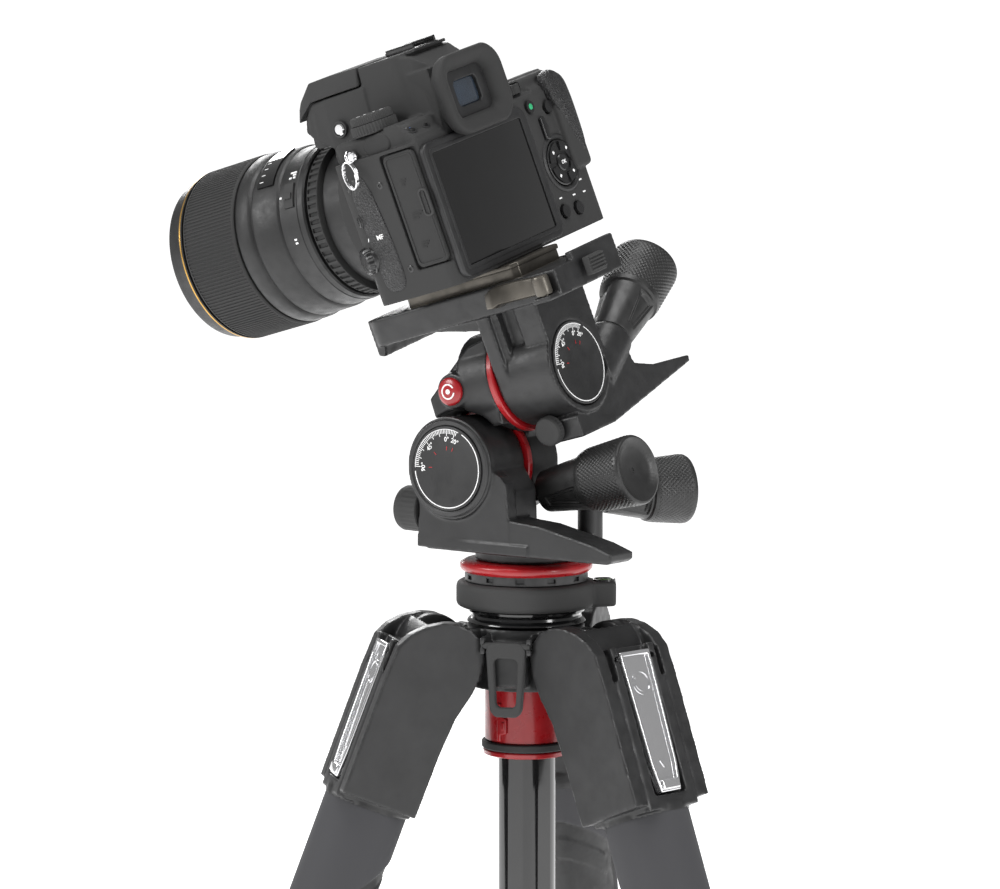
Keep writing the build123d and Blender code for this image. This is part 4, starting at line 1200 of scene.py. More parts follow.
# ------------------------------------------------------------------------ head
@dataclass
class LockHandle:
    """Conical lock handle with a recess on each side and a knurled end."""

    place: Matrix
    at: Matrix
    node: str
    length: float = 54.0
    root: float = 10.0
    end: float = 16.5

    def _relief(self, angle: float, height: float) -> float:
        """Height of the recesses and of the knurl at a point of the handle."""
        start, stop = 0.10 * self.length, 0.47 * self.length
        grown = 0.0
        if start < height < stop:
            share = (height - start) / (stop - start)
            turn = abs((angle + pi / 3) % (2 * pi / 3) - pi / 3)
            arc = turn * (self.root + 3.5 * share)
            reach = 2.6 + 3.4 * share
            inside = min(1.0, max(0.0, (reach - arc) / 0.7)) * min(1.0, (height - start) / 0.8,
                (stop - height) / 0.8)
            inner = min(1.0, max(0.0, (reach - 1.5 - arc) / 0.5)) * min(1.0,
                max(0.0, (height - start - 1.6) / 0.6))
            inner *= min(1.0, max(0.0, (stop - 1.6 - height) / 0.6))
            grown -= 0.75 * inside + 0.55 * inner
        low, high = 0.55 * self.length, self.length - 2.2
        if low < height < high:
            u, v = angle * 46, (height - low) * 2.7
            grown += 0.26 * abs(sin((u + v) / 2)) * abs(sin((u - v) / 2))
        return grown

    def build(self) -> None:
        """Makes the handle and its screw stem."""
        n, l, r0, r1 = 44, self.length, self.root, self.end
        profile = [(0, -7), (3.4, -7), (3.4, 0), (r0 - 1.2, 0), (r0 - 0.2, 0.8)]
        profile += [(r0 + (r1 - 2.9 - r0) * i / n, 1.6 + (0.49 * l - 1.6) * i / n) for i in range(n + 1)]
        profile += [(r1 - 1.9, 0.505 * l), (r1 - 1.7, 0.52 * l)]
        rows = round((0.98 * l - 0.54 * l) / 0.28)
        profile += [(r1 - 1.5 + 1.5 * i / rows,
            0.54 * l + (l - 2.2 - 0.54 * l) * i / rows) for i in range(rows + 1)]
        profile += [(r1, l - 1.2), (r1 - 0.5, l - 0.3), (r1 - 1.3, l), (r1 - 2.2, l - 0.4),
            (r1 - 3.2, l - 1.4)]
        profile += [(r1 - 6, l - 2.4), (r1 - 11, l - 3.2), (1.4, l - 3.4), (0.8, l - 3.7), (0, l - 3.7)]
        grip = Shape(self.place).turned(profile, 368, self.at, self._relief)
        put(self.node + "_skin", grip.mesh_data(self.node), HANDLE, self.node, [self.node])


@dataclass
class AngleDial:
    """Black dial with a white scale of degrees and an outer ring."""

    place: Matrix
    at: Matrix
    node: str
    body: str
    radius: float = 20.0
    thick: float = 1.6
    step: float = 3.0
    labels: tuple[tuple[float, str], ...] = ((180.0, "90°"), (135.0, "45°"), (90.0, "0°"), (70.0, "20°"))

    def build(self) -> None:
        """Makes the disc and the printed marks."""
        r, t = self.radius, self.thick
        disc = Shape(self.place).turned(
            [(0, 0), (r, 0), (r, t - 0.7), (r - 0.25, t - 0.2), (r - 0.7, t), (r - 1.1, t - 0.12),
                (0, t - 0.12)], 160, self.at
        )
        put(self.node + "_disc", disc.mesh_data(self.node), DIAL, self.body, [self.node])
        low, high = t - 0.2, t - 0.02
        ink = Shape(self.place)
        ink.arc((r - 1.75, r - 1.3), (-173, 62), low, high, self.at)
        ink.arc((r - 1.75, r - 1.4), (68.5, 181.5), low, high, self.at)
        angle, index = 180.0, 0
        while angle > 69.9:
            long = 3.3 if index % 5 == 0 else 2.1
            tick = self.at @ Matrix.Rotation(radians(angle), 4, "Z")
            ink.block((r - 1.5 - long, r - 1.4), (-0.16, 0.16), (low, high), 0.0, tick)
            angle, index = angle - self.step, index + 1
        for angle, words in self.labels:
            way = radians(angle)
            spot = self.at @ Matrix.Translation((0.68 * r * cos(way), 0.68 * r * sin(way), (low + high) / 2))
            ink.text(words, 3.1, high - low, spot @ Matrix.Rotation(way - pi / 2, 4, "Z"))
        put(self.node + "_scale", ink.mesh_data(self.node + "_scale"), WHITE_INK_PAINTED_GLOW, self.body)
        red = Shape(self.place)
        for angle, _ in self.labels:
            tick = self.at @ Matrix.Rotation(radians(angle), 4, "Z")
            red.block((0.43 * r, 0.52 * r), (-0.16, 0.16), (low, high), 0.0, tick)
        put(self.node + "_points", red.mesh_data(self.node + "_points"), RED_INK, self.body)


def friction_knob(place: Matrix, at: Matrix, node: str, radius: float, length: float) -> None:
    """Makes a friction knob with a fine fluted side.

    Args:
        place: Matrix of the local frame.
        at: Place of the knob, pointing along Z.
        node: CAD node and body of the knob.
        radius: Its radius.
        length: Its length.
    """

    def flutes(angle: float, height: float) -> float:
        """Depth of the shallow flutes along the knob."""
        return -0.22 * (0.5 + 0.5 * cos(28 * angle)) if 0.6 < height < 0.62 * length else 0.0

    r = radius
    profile = [(0, -5), (3, -5), (3, 0), (r - 0.5, 0), (r, 0.5), (r, 0.7), (r, 0.6 * length),
        (r - 0.1, 0.64 * length)]
    profile += [(r - 0.1, length - 1.8), (r - 0.7, length - 0.6), (r - 1.8, length - 0.05), (r - 2.4, length),
        (0, length - 0.3)]
    knob = Shape(place).turned(profile, 168, at, flutes)
    put(node + "_skin", knob.mesh_data(node), MOULDED, node, [node])


@dataclass
class PanHead:
    """Lower part of the head: red pan ring, housing, front-tilt dial and pan handle."""

    stance: Stance
    ring_radius: float = 31.2
    ring_height: float = 5.4
    dial_x: float = 31.5
    handle_azimuth: float = 149.5

    def build(self) -> None:
        """Makes every piece of the pan group."""
        pan = self.stance.pan()
        dress(CAST_BLACK, "pan_base")
        r, h = self.ring_radius, self.ring_height
        ring = Shape(pan).turned(
            [(21, 0.05), (r - 1.7, 0.05), (r - 0.4, 1.0), (r, 1.9), (r, 3.6), (r - 0.3, 4.1),
                (r - 2.4, h - 0.1), (21, h - 0.1)],
            180, closed=True,
        )
        put("pan_ring_red", ring.mesh_data("pan_ring_red"), RED_PAINT, "column", ["pan_ring"])
        put("housing_skin", self._housing(pan).cast("housing_skin", 0.6, 6), CAST_BLACK, "pan",
            ["pan_housing"])
        self._housing_trim(pan)
        tilt_y, tilt_z = self.stance.tilt_axis
        AngleDial(pan, facing((self.dial_x, tilt_y, tilt_z), (1, 0, 0), (0, 1, 0)), "tilt_dial",
            "pan").build()
        way = radians(self.handle_azimuth)
        out = (cos(way), sin(way), 0)
        root = facing((39.4 * out[0], 39.4 * out[1], 35.0), out, (0, 0, 1))
        LockHandle(pan, root, "pan_handle", 43.0).build()
        friction_knob(pan, facing((20, -42.5, 27.7), (0, -1, 0), (1, 0, 0)), "tilt_friction_knob", 10.8, 14.0)

    def _housing(self, pan: Matrix) -> Shape:
        """Draws the solids of the housing: barrel, web, boat-shaped floor, tail, hub and handle post.

        Args:
            pan: Matrix of the pan frame.

        Returns:
            The shape, ready to be fused.
        """
        along_x = facing((0, 0, 0), (1, 0, 0), (0, 1, 0))
        axle = facing((0, *self.stance.tilt_axis), (1, 0, 0), (0, 1, 0))
        body = Shape(pan)
        body.turned([(0, 3.2), (23.0, 3.2), (23.6, 3.8), (23.6, 27), (24.2, 30.4), (24.0, 31.4), (0, 31.4)],
            96, axle)
        body.turned([(0, -19.5), (8, -19.5), (8, 4), (0, 4)], 48, axle)
        web = [(-44, 44), (-39.5, 30), (-38.5, 20), (-39.5, 11), (10, 11), (9.5, 26), (8.5, 40), (4, 46.5),
            (-4, 58), (-22, 52)]
        body.prism(web, 4, 26.5, 0.0, along_x)
        plate = [(-41, 30), (-42.5, 11), (12, 11), (10.5, 30), (9, 44), (6, 47), (-2, 51), (-22, 50),
            (-44, 46)]
        body.prism(plate, 22, 29.4, 0.0, along_x)
        boat = [(-18, -34), (-8, -41), (22, -41), (29, -36), (30, -10), (30, 22), (12, 28), (-24, 22),
            (-27, 0)]
        body.prism(boat, 10.4, 15.5, 0.0)
        tail = [(10, 10.4), (66, 10.4), (68.4, 12), (68.4, 15.2), (58, 18.8), (28, 25.5), (10, 27)]
        body.prism(tail, 11, 29.2, 0.0, along_x)
        body.turned([(0, 5.9), (24, 5.9), (24, 11.5), (13, 12), (13, 18), (0, 18)], 72)
        post = Matrix.Translation((33.0 * cos(radians(self.handle_azimuth)),
            33.0 * sin(radians(self.handle_azimuth)), 0))
        body.turned([(0, 10.4), (6, 10.4), (6, 40.5), (5, 41.5), (0, 41.5)], 48, post)
        body.block((-32, -14), (-2, 20), (10.4, 15.5), 3.0)
        nose = facing((18.0, -42.3, 24.5), (0, 1, 0), (1, 0, 0))
        body.turned([(0, -1.2), (8, -1.2), (9.6, 0.6), (10.5, 4), (9, 12), (0, 14)], 48, nose)
        return body

    def _housing_trim(self, pan: Matrix) -> None:
        """Makes the raised rim round the dial."""
        spot = facing((30.2, *self.stance.tilt_axis), (1, 0, 0), (0, 1, 0))
        rim = Shape(pan).turned([(20.3, 0), (23.2, 0), (23.0, 1.6), (22.3, 2.4), (21.0, 2.6), (20.3, 2.2)],
            144, spot, closed=True)
        put("tilt_dial_rim", rim.mesh_data("tilt_dial_rim"), CAST_BLACK, "pan")


@dataclass
class TiltArm:
    """Arm between the two tilt axes, with its red rings, badge and side dial."""

    stance: Stance
    ring_radius: float = 25.5
    ring_width: float = 3.4
    badge: tuple[float, float, float] = (25.4, -16.0, 84.5)
    badge_radius: float = 6.6

    def build(self) -> None:
        """Makes every piece that nods with the arm."""
        tilt = self.stance.tilt()
        arm = Shape(tilt).cad("tilt_arm")
        boss = facing((0, *self.badge[1:]), (1, 0, 0), (0, 1, 0))
        arm.turned([(0, 10), (11, 10), (9.4, 20), (8.2, self.badge[0] - 0.4), (0, self.badge[0] - 0.4)], 64,
            boss)
        arm.prism([(-45, 58), (-42, 74), (-30, 88), (-14, 98), (-8, 96), (-22, 82), (-33, 66), (-36, 56)], -2,
            6, 0.0,
                  facing((0, 0, 0), (1, 0, 0), (0, 1, 0)))
        put("arm_skin", arm.cast("arm_skin", 0.65, 5), CAST_BLACK, "tilt", ["tilt_arm"])
        r, w = self.ring_radius, self.ring_width
        profile = [(9.2, 0.05), (r - 0.5, 0.05), (r, 0.6), (r, w - 0.6), (r - 0.5, w - 0.05), (9.2, w - 0.05)]
        rings = Shape(tilt)
        rings.turned(profile, 144, facing((-0.8, *self.stance.tilt_axis), (1, 0, 0), (0, 1, 0)), closed=True)
        rings.turned(profile, 144, facing((0, 6.0, self.stance.side_axis), (0, 1, 0), (-1, 0, 0)),
            closed=True)
        put("tilt_rings_red", rings.mesh_data("tilt_rings_red"), RED_PAINT, "tilt", ["tilt_rings"])
        spot = facing(self.badge, (1, 0, 0), (0, 1, 0))
        r = self.badge_radius
        disc = Shape(tilt).turned([(0, -2), (r, -2), (r, 0.9), (r - 0.4, 1.4), (r - 1.6, 1.9), (r - 4, 2.3),
            (0, 2.4)], 72, spot)
        put("badge_red", disc.mesh_data("badge_red"), RED_PAINT, "tilt")
        mark = Shape(tilt).arc((3.0, 3.7), (20, 340), 2.0, 2.42, spot, 6)
        mark.arc((0.01, 1.2), (0, 360), 2.2, 2.5, spot, 12)
        put("badge_mark", mark.mesh_data("badge_mark"), WHITE_INK_PAINTED_GLOW, "tilt")
        dial = facing((0, 37.9, self.stance.side_axis), (0, 1, 0), (-1, 0, 0))
        AngleDial(tilt, dial, "side_dial", "tilt", thick=4.0).build()
        handle = facing((-8.0, 1.8, 30.0), (0, 1, 0), (0, 0, 1))
        LockHandle(tilt, handle, "tilt_handle").build()


@dataclass
class Platform:
    """Camera platform on the side-tilt axis, with its quick release and handle."""

    stance: Stance
    handle_rise: float = 26.6
    handle_root: tuple[float, float, float] = (-43.9, 32.0, 86.5)

    def build(self) -> None:
        """Makes every piece of the platform."""
        head = self.stance.head()
        body = Shape(head).cad("platform")
        body.prism([(-50, 132), (-50, 114.5), (-46.5, 113.5), (-44, 119.5), (-36, 121), (-36, 132)], -24, 24,
            0.0,
                   facing((0, 0, 0), (1, 0, 0), (0, 1, 0)))
        body.block((-20, 15.5), (10, 41), (88, 119.5))
        body.block((-20, 20.5), (11, 20), (84, 119.5))
        body.prism([(-26, 119.5), (9.4, 119.5), (9.4, 112)], -19, 19, 0.0,
            facing((0, 0, 0), (1, 0, 0), (0, 1, 0)))
        put("platform_skin", body.cast("platform_skin", 0.65, 7), CAST_BLACK, "side", ["platform"])
        rise = radians(self.handle_rise)
        out = (-cos(rise), 0, sin(rise))
        LockHandle(head, facing(self.handle_root, out, (0, 1, 0)), "side_handle").build()
        friction_knob(head, facing((15, 25, 59), (1, 0, 0), (0, 1, 0)), "side_friction_knob", 7.0, 5.4)
        self._release(head)
        self._lever(head)
        self._catch(head)

    def _release(self, head: Matrix) -> None:
        """Makes the release plate with its chamfered foot and stepped top."""
        plate = Shape(head)
        foot = [(-18.5, -30), (18.5, -30), (21.5, -27), (21.5, 37), (18.5, 40), (-18.5, 40), (-21.5, 37),
            (-21.5, -27)]
        plate.prism(foot, 126.6, 131.9, 0.7)
        plate.prism([(x * 0.9, 5 + (y - 5) * 0.96) for x, y in foot], 131.5, 138.0, 0.6)
        plate.prism([(x * 0.94, 5 + (y - 5) * 0.98) for x, y in foot], 136.6, 138.95, 0.5)
        put("release_plate_skin", plate.mesh_data("release_plate_skin"), BRONZE_GREY, "camera",
            ["release_plate"])

    def _lever(self, head: Matrix) -> None:
        """Makes the wedge-shaped release lever with its blunt finger end."""
        sections = []
        for y, x0, x1, z0, z1 in (
            (26.0, 28.2, 34.2, 121.8, 129.4), (30.0, 27.8, 35.2, 121.6, 131.2),
            (33.0, 27.8, 34.0, 122.6, 132.0),
            (46.0, 27.8, 32.8, 122.2, 131.6), (58.0, 27.8, 34.8, 122.2, 130.8),
        ):
            sections.append([(x0, y, z0), (x1, y, z0 + 1.2), (x1 - 1.6, y, z1), (x0, y, z1)])
        lever = Shape(head).loft(sections, 0.6)
        lever.turned([(0, 119.6), (2, 119.6), (2, 122), (3.9, 122.2), (4.1, 123), (4.1, 130), (3.6, 131),
            (0, 131.2)], 48,
                     Matrix.Translation((31.5, 58, 0)))
        put("plate_lever_skin", lever.mesh_data("plate_lever_skin"), BRONZE_GREY, "plate_lever",
            ["plate_lever"])

    def _catch(self, head: Matrix) -> None:
        """Makes the ridged safety catch and its pin."""
        catch = Shape(head).prism([(-7, 66.4), (7, 66.4), (6.2, 69.6), (-6.2, 69.6)], 122.6, 131.4, 0.6)
        for index in range(5):
            z = 123.8 + 1.6 * index
            catch.block((-6, 6), (69.0, 70.4), (z, z + 0.8), 0.3)
        catch.turned([(0, 0), (2, 0), (2, 10.6), (0, 10.6)], 24, facing((0, 56, 127), (0, 1, 0), (1, 0, 0)))
        put("plate_catch_skin", catch.mesh_data("plate_catch_skin"), MOULDED, "plate_catch", ["plate_catch"])


# ------------------------------------------------------------------------ camera
@dataclass
class Camera:
    """Camera body with its flash, screen, eyecup, dials, keys and side door."""

    stance: Stance
    left: float = 51.0
    rear: float = 30.0
    axis_x: float = 2.0
    screen: tuple[float, float] = (5.5, 172.4)
    pad: tuple[float, float] = (-55.6, 172.0)
    mode: tuple[float, float] = (39.5, 4.0)
    wheel: tuple[float, float] = (-40.0, 20.0)
    place: Matrix = field(init=False)
    on_rear: Matrix = field(init=False)
    on_left: Matrix = field(init=False)

    def __post_init__(self) -> None:
        """Finds the camera's frame and the planes of its rear and left faces."""
        self.place = self.stance.head()
        self.on_rear = facing((0, self.rear, 0), (0, 1, 0), (-1, 0, 0))
        self.on_left = facing((self.left, 0, 0), (1, 0, 0), (0, 1, 0))

    def build(self) -> None:
        """Makes every piece of the camera."""
        self._shell()
        self._flash()
        self._shoe()
        self._screen()
        self._eyecup()
        self._dials()
        self._pad()
        self._keys()
        self._door()
        self._leather()
        self._flank()
        self._lugs()

    def _section(self, y: float, wide: float, narrow: float, low: float, high: float) -> list[Point]:
        """One cross-section of the prism housing, tapered towards its top."""
        x = self.axis_x
        return [(x - wide, y, low), (x + wide, y, low), (x + narrow, y, high), (x - narrow, y, high)]

    def _shell(self) -> None:
        """Makes the moulded shell: body, top cover, sloping shoulders and prism housing."""
        body = Shape(self.place).cad("camera_body").cad("top_cover")
        body.loft([
            self._section(29.4, 24, 14, 205, 236), self._section(20, 26, 17, 205, 243.5),
            self._section(8, 27, 20, 205, 245.8), self._section(-7.0, 27, 20.5, 205, 245.8),
        ])
        body.loft([
            self._section(-6, 27, 23, 205, 237.4), self._section(-30, 27, 23, 214, 237.2),
            self._section(-38, 26, 22, 219, 236.4), self._section(-42, 25, 21, 222, 234),
            self._section(-46.5, 22, 19, 225, 231),
        ])
        wedge = [(14, 217), (21, 217), (29.6, 209), (29.6, 200), (14, 200)]
        along = facing((0, 0, 0), (1, 0, 0), (0, 1, 0))
        body.prism(wedge, 26, 47.6, 0.0, along)
        body.prism(wedge, -76, -52, 0.0, along)
        body.prism([(14, 214), (17, 214), (29.6, 208), (29.6, 200), (14, 200)], -53, -24, 0.0, along)
        body.block((-78, -63), (28, 33), (166, 206), 3.0)
        put("camera_shell", body.cast("camera_shell", 0.6, 2), SHELL, "camera", ["camera_body", "top_cover"])

    def _flash(self) -> None:
        """Makes the raised-roof flash head with its beak over the lens."""
        head = Shape(self.place).loft(
            [
                self._section(-8.3, 23.4, 20.4, 238.1, 246.5), self._section(-24, 23.6, 20.6, 238.1, 247.0),
                self._section(-38, 23.2, 19.8, 237.8, 246.6), self._section(-47, 22, 18, 231.9, 239.6),
                self._section(-50, 20.5, 17, 230, 236.2),
            ],
            0.8,
        )
        put("flash_head", head.mesh_data("flash_head"), SHELL, "pop_up_flash", ["pop_up_flash"])
        lamp = Shape(self.place).block((-14, 18), (-49.4, -44), (231.4, 235), 0.6)
        put("flash_lamp", lamp.mesh_data("flash_lamp"), SCREEN_GLASS, "pop_up_flash")

    def _shoe(self) -> None:
        """Makes the accessory shoe on the prism."""
        x = self.axis_x
        shoe = Shape(self.place).block((x - 9.6, x + 9.6), (3, 20), (245, 246.5), 0.3)
        for side in (-1, 1):
            outer, inner = x + side * 9.6, x + side * 6.4
            shoe.block(sorted((outer, outer - side * 1.4)), (3, 19), (246.2, 249.0), 0.25)
            shoe.block(sorted((outer, inner)), (3, 19), (248.2, 249.2), 0.25)
        shoe.block((x - 9.6, x + 9.6), (2.4, 4.0), (246.2, 248.0), 0.25)
        put("accessory_shoe", shoe.mesh_data("accessory_shoe"), KEY_BLACK, "camera")
        rim = Shape(self.place).prism(rounded(30, 22, 3), 244.6, 246.1, 0.4, Matrix.Translation((x, 10.5, 0)))
        put("shoe_seat", rim.mesh_data("shoe_seat"), PANEL, "camera")

    def _screen(self) -> None:
        """Makes the screen glass and the stepped surround."""
        sx, sz = self.screen
        spot = self.on_rear @ Matrix.Translation((-sx, sz, 0))
        surround = Shape(self.place)
        surround.frame(rounded(86, 64, 5), rounded(75.2, 54.2, 1.5), -1.0, 2.2, 0.9, spot)
        surround.frame(rounded(79, 58, 2.5), rounded(75.0, 54.0, 1.2), 1.6, 2.5, 0.25, spot)
        put("screen_surround", surround.mesh_data("screen_surround"), PANEL, "camera")
        border = Shape(self.place).frame(rounded(75.8, 54.8, 1.5), rounded(69, 49, 1.0), -0.4, 1.9, 0.15,
            spot)
        put("screen_border", border.mesh_data("screen_border"), BEZEL, "camera")
        glass = Shape(self.place).prism(rounded(74.8, 53.8, 1.5), -0.8, 1.95, 0.2, spot)
        put("screen_glass", glass.mesh_data("screen_glass"), SCREEN_GLASS, "camera", ["rear_screen"])

    def _eyecup(self) -> None:
        """Makes the soft eyecup round the viewfinder window."""
        spot = self.on_rear @ Matrix.Translation((-self.axis_x, 220, 0))
        cup = Shape(self.place)
        rows = []
        for depth, width, height, corner in (
            (-1, 40, 30, 8), (1.5, 42, 31, 8), (3.5, 47, 35, 9), (6, 50, 37.5, 11), (8.4, 50.4, 37.8, 12),
            (9.4, 48.8, 36.4, 11.5), (9.6, 46.6, 34.4, 10.5), (9.0, 42.6, 30.6, 9), (7.0, 35, 25, 6),
            (4.6, 31.5, 22, 4.6),
            (2.4, 31, 21.6, 4.4), (-1, 31, 21.6, 4.4),
        ):
            rows.append([spot @ Vector((x, y, depth)) for x, y in rounded(width, height, corner, 12)])
        cup.closed_rings(rows)
        put("eyecup_skin", cup.mesh_data("eyecup_skin"), SOFT_BLACK, "camera", ["eyecup"], sharp=50.0)
        inner = Shape(self.place).frame(rounded(32, 22.4, 5), rounded(19, 12.4, 2.6), 0.4, 3.6, 0.6, spot)
        put("finder_frame", inner.mesh_data("finder_frame"), PANEL, "camera")
        window = Shape(self.place).pillow(rounded(19.6, 13, 2.8), 1.2, spot @ Matrix.Translation((0, 0, 1.2)),
            1.4)
        put("finder_glass", window.mesh_data("finder_glass"), LENS_GLASS, "camera")

    def _dials(self) -> None:
        """Makes the two-tier mode dial, the rear wheel and their index marks."""

        def ribs(count: int, depth: float, low: float, high: float) -> Relief:
            """Relief of grip ribs between two heights."""
            return lambda angle, height: -depth * (0.5 + 0.5 * cos(count * angle)) if low < height < high else 0.0

        at = Matrix.Translation((*self.mode, 0))
        dial = Shape(self.place)
        dial.turned(
            [(0, 212.2), (4, 212.2), (4, 216.3), (10.2, 216.3), (10.9, 216.9), (11, 217.2), (11, 220.6),
                (10.6, 221.2), (0, 221.2)],
            240, at, ribs(42, 0.55, 216.9, 220.9),
        )
        dial.turned(
            [(0, 220.8), (9.4, 220.8), (10, 221.6), (10.1, 222), (10.1, 224.4), (9.6, 225.1), (8.8, 225.4),
                (8.2, 225.1), (0, 225.1)],
            240, at, ribs(60, 0.35, 221.8, 224.5),
        )
        put("mode_dial_skin", dial.mesh_data("mode_dial_skin"), MOULDED, "mode_dial", ["mode_dial"])
        marks = Shape(self.place)
        for index in range(9):
            tick = at @ Matrix.Rotation(radians(40 * index), 4, "Z")
            marks.block((5.6, 7.4), (-0.25, 0.25), (225.0, 225.3), 0.0, tick)
        put("mode_dial_marks", marks.mesh_data("mode_dial_marks"), WHITE_INK_PAINTED_GLOW, "mode_dial")
        index_mark = Shape(self.place).block((27.9, 28.3), (-4.0, -3.2), (218, 225), 0.1)
        put("mode_index", index_mark.mesh_data("mode_index"), WHITE_INK_PAINTED_GLOW, "camera")
        spot = Matrix.Translation((*self.wheel, 0))
        wheel = Shape(self.place).turned(
            [(0, 209.9), (9.6, 209.9), (10, 210.3), (10, 214.1), (9.6, 214.5), (0, 214.5)], 192, spot,
            ribs(36, 0.6, 210.2, 214.2)
        )
        put("rear_wheel", wheel.mesh_data("rear_wheel"), SOFT_BLACK, "rear_dial", ["rear_dial"])
        dress(KEY_BLACK, "shutter_button")

    def _pad(self) -> None:
        """Makes the four-way pad with its centre key and the dish round it."""
        px, pz = self.pad
        spot = self.on_rear @ Matrix.Translation((-px, pz, 0))
        pad = Shape(self.place).turned([(0, -1.8), (11, -1.8), (11, 0.3), (10.6, 0.6), (0, 0.6)], 96, spot)
        for quarter in range(4):
            pad.arc((5.7, 10.3), (90 * quarter + 8, 90 * quarter + 82), 0.2, 1.5, spot, 6)
        pad.turned([(0, 0), (4.2, 0), (4.2, 1.1), (3.7, 1.6), (0, 1.75)], 48, spot)
        put("pad_skin", pad.mesh_data("pad_skin"), KEY_BLACK, "control_pad", ["control_pad"])
        ink = Shape(self.place).text("OK", 2.6, 0.1, spot @ Matrix.Translation((0, 0, 1.76)))
        for quarter in range(4):
            turn = spot @ Matrix.Rotation(radians(90 * quarter + 45), 4, "Z")
            ink.block((7.4, 8.8), (-0.6, 0.6), (1.45, 1.58), 0.0, turn)
        put("pad_marks", ink.mesh_data("pad_marks"), WHITE_INK_PAINTED_GLOW, "control_pad")
        dish = Shape(self.place).turned(
            [(11.6, -0.8), (14.6, -0.8), (14.2, 0.3), (13.2, 0.9), (12.2, 0.7), (11.6, 0.1)], 96, spot,
            closed=True
        )
        put("pad_dish", dish.mesh_data("pad_dish"), PANEL, "camera")

    def _key(self, name: str, at: Matrix, radius: float, height: float, finish: Finish = KEY_BLACK) -> None:
        """Makes one fixed round key in its shallow seat.

        Args:
            name: Name of the key.
            at: Place of its seat, facing along Z.
            radius: Radius of the key.
            height: Height of the key.
            finish: Its finish.
        """
        r = radius
        key = Shape(self.place).turned([(0, -1.6), (r, -1.6), (r, height - 0.6), (r - 0.6, height - 0.1),
            (0, height)], 48, at)
        put(name, key.mesh_data(name), finish, "camera")
        seat = Shape(self.place).turned([(r + 0.2, -1.4), (r + 1.3, -1.4), (r + 1.1, 0.25), (r + 0.5, 0.35),
            (r + 0.2, 0.1)], 48, at, closed=True)
        put(name + "_seat", seat.mesh_data(name + "_seat"), PANEL, "camera")

    def _keys(self) -> None:
        """Makes the rear keys, their marks and the lever beside them."""
        dress(KEY_BLACK, "rear_buttons")
        green = Shape(self.place).turned([(0, 1.0), (1.5, 1.0), (1.4, 1.35), (0, 1.4)], 32,
            self.on_rear @ Matrix.Translation((45, 202, 0)))
        put("green_point", green.mesh_data("green_point"), GREEN_INK_PAINTED_GLOW, "rear_buttons")
        slope = Vector((0, 0.68, 0.73))
        for name, x in (("play_key", 43.6), ("info_key", 33.0)):
            self._key(name, facing((x, 25.2, 213.4), slope, (-1, 0, 0)), 2.9, 0.9)
        play = Shape(self.place).prism([(-1.0, -1.1), (1.2, 0), (-1.0, 1.1)], 0.86, 1.0, 0.0,
            facing((43.6, 25.2, 213.4), slope, (-1, 0, 0)))
        put("play_mark", play.mesh_data("play_mark"), BLUE_INK_PAINTED_GLOW, "camera")
        info = Shape(self.place).block((-1.2, 1.2), (-0.25, 0.25), (0.86, 1.0), 0.0,
            facing((33.0, 25.2, 213.4), slope, (-1, 0, 0)))
        put("info_mark", info.mesh_data("info_mark"), WHITE_INK_PAINTED_GLOW, "camera")
        lever = Shape(self.place).prism([(-2.2, -5), (1.2, -6), (2.6, 0), (1.2, 6), (-2.2, 5)], -0.8, 1.7,
            0.6,
                                        self.on_rear @ Matrix.Translation((51.0, 190, 0)))
        put("meter_lever", lever.mesh_data("meter_lever"), KEY_BLACK, "camera")
        ink = Shape(self.place)
        for x, z in ((-50.6, 194), (-51.5, 186), (-57, 155.5), (-45.5, 156.5), (-66, 161), (-66, 155)):
            ink.block((-1.1, 1.1), (-0.35, 0.35), (-0.1, 0.12), 0.0,
                self.on_rear @ Matrix.Translation((-x, z, 0)))
        put("rear_marks", ink.mesh_data("rear_marks"), WHITE_INK_PAINTED_GLOW, "camera")
        self._key("af_key", self.on_rear @ Matrix.Translation((66.5, 210, -3.4)), 3.0, 1.0)

    def _door(self) -> None:
        """Makes the port door with its moulded frame, icons and latch, and the caps beside it."""
        spot = self.on_left @ Matrix.Translation((19.0, 178.0, 0))
        door = Shape(self.place).prism(rounded(17.6, 53.4, 3), -2.4, -0.1, 0.5, spot)
        door.frame(rounded(15.6, 51.2, 2.4), rounded(14.2, 49.8, 1.8), -0.4, 0.22, 0.2, spot)
        for z, width in ((14, 3.4), (-2, 6.4), (-16, 4.6)):
            for row in range(3):
                door.block((-2.8, -2.8 + width * (1 - 0.22 * row)), (z - 1.2 * row, z - 1.2 * row + 0.5),
                    (-0.3, 0.14), 0.0, spot)
        put("port_door_skin", door.mesh_data("port_door_skin"), SOFT_BLACK, "port_door", ["port_door"])
        latch = Shape(self.place).frame(rounded(5.2, 13.4, 2.3), rounded(3.4, 11.4, 1.6), -0.6, 0.5, 0.2,
            spot @ Matrix.Translation((7.0, 1.5, 0)))
        put("door_latch", latch.mesh_data("door_latch"), MOULDED, "port_door")
        cap = Shape(self.place).pillow(
            [(5.6 * cos(t) + (0 if cos(t) > 0 else -4.5),
                5.2 * sin(t)) for t in (2 * pi * i / 40 for i in range(40))],
            1.3, facing((47.6, 10.5, 210.6), (1, 0, 0.06), (0, 1, 0)), 1.6,
        )
        put("port_cap", cap.mesh_data("port_cap"), SOFT_BLACK, "camera")
        for index, (y, z) in enumerate(((4.4, 192.8), (5.5, 152.3)), 1):
            at = self.on_left @ Matrix.Translation((y, z, 0))
            screw = Shape(self.place).turned([(0, -1), (1.7, -1), (1.7, 0.1), (1.4, 0.3), (0.8, 0.3),
                (0.7, -0.2), (0, -0.2)], 36, at)
            put(f"flank_screw_{index}", screw.mesh_data("flank_screw"), KEY_BLACK, "camera")

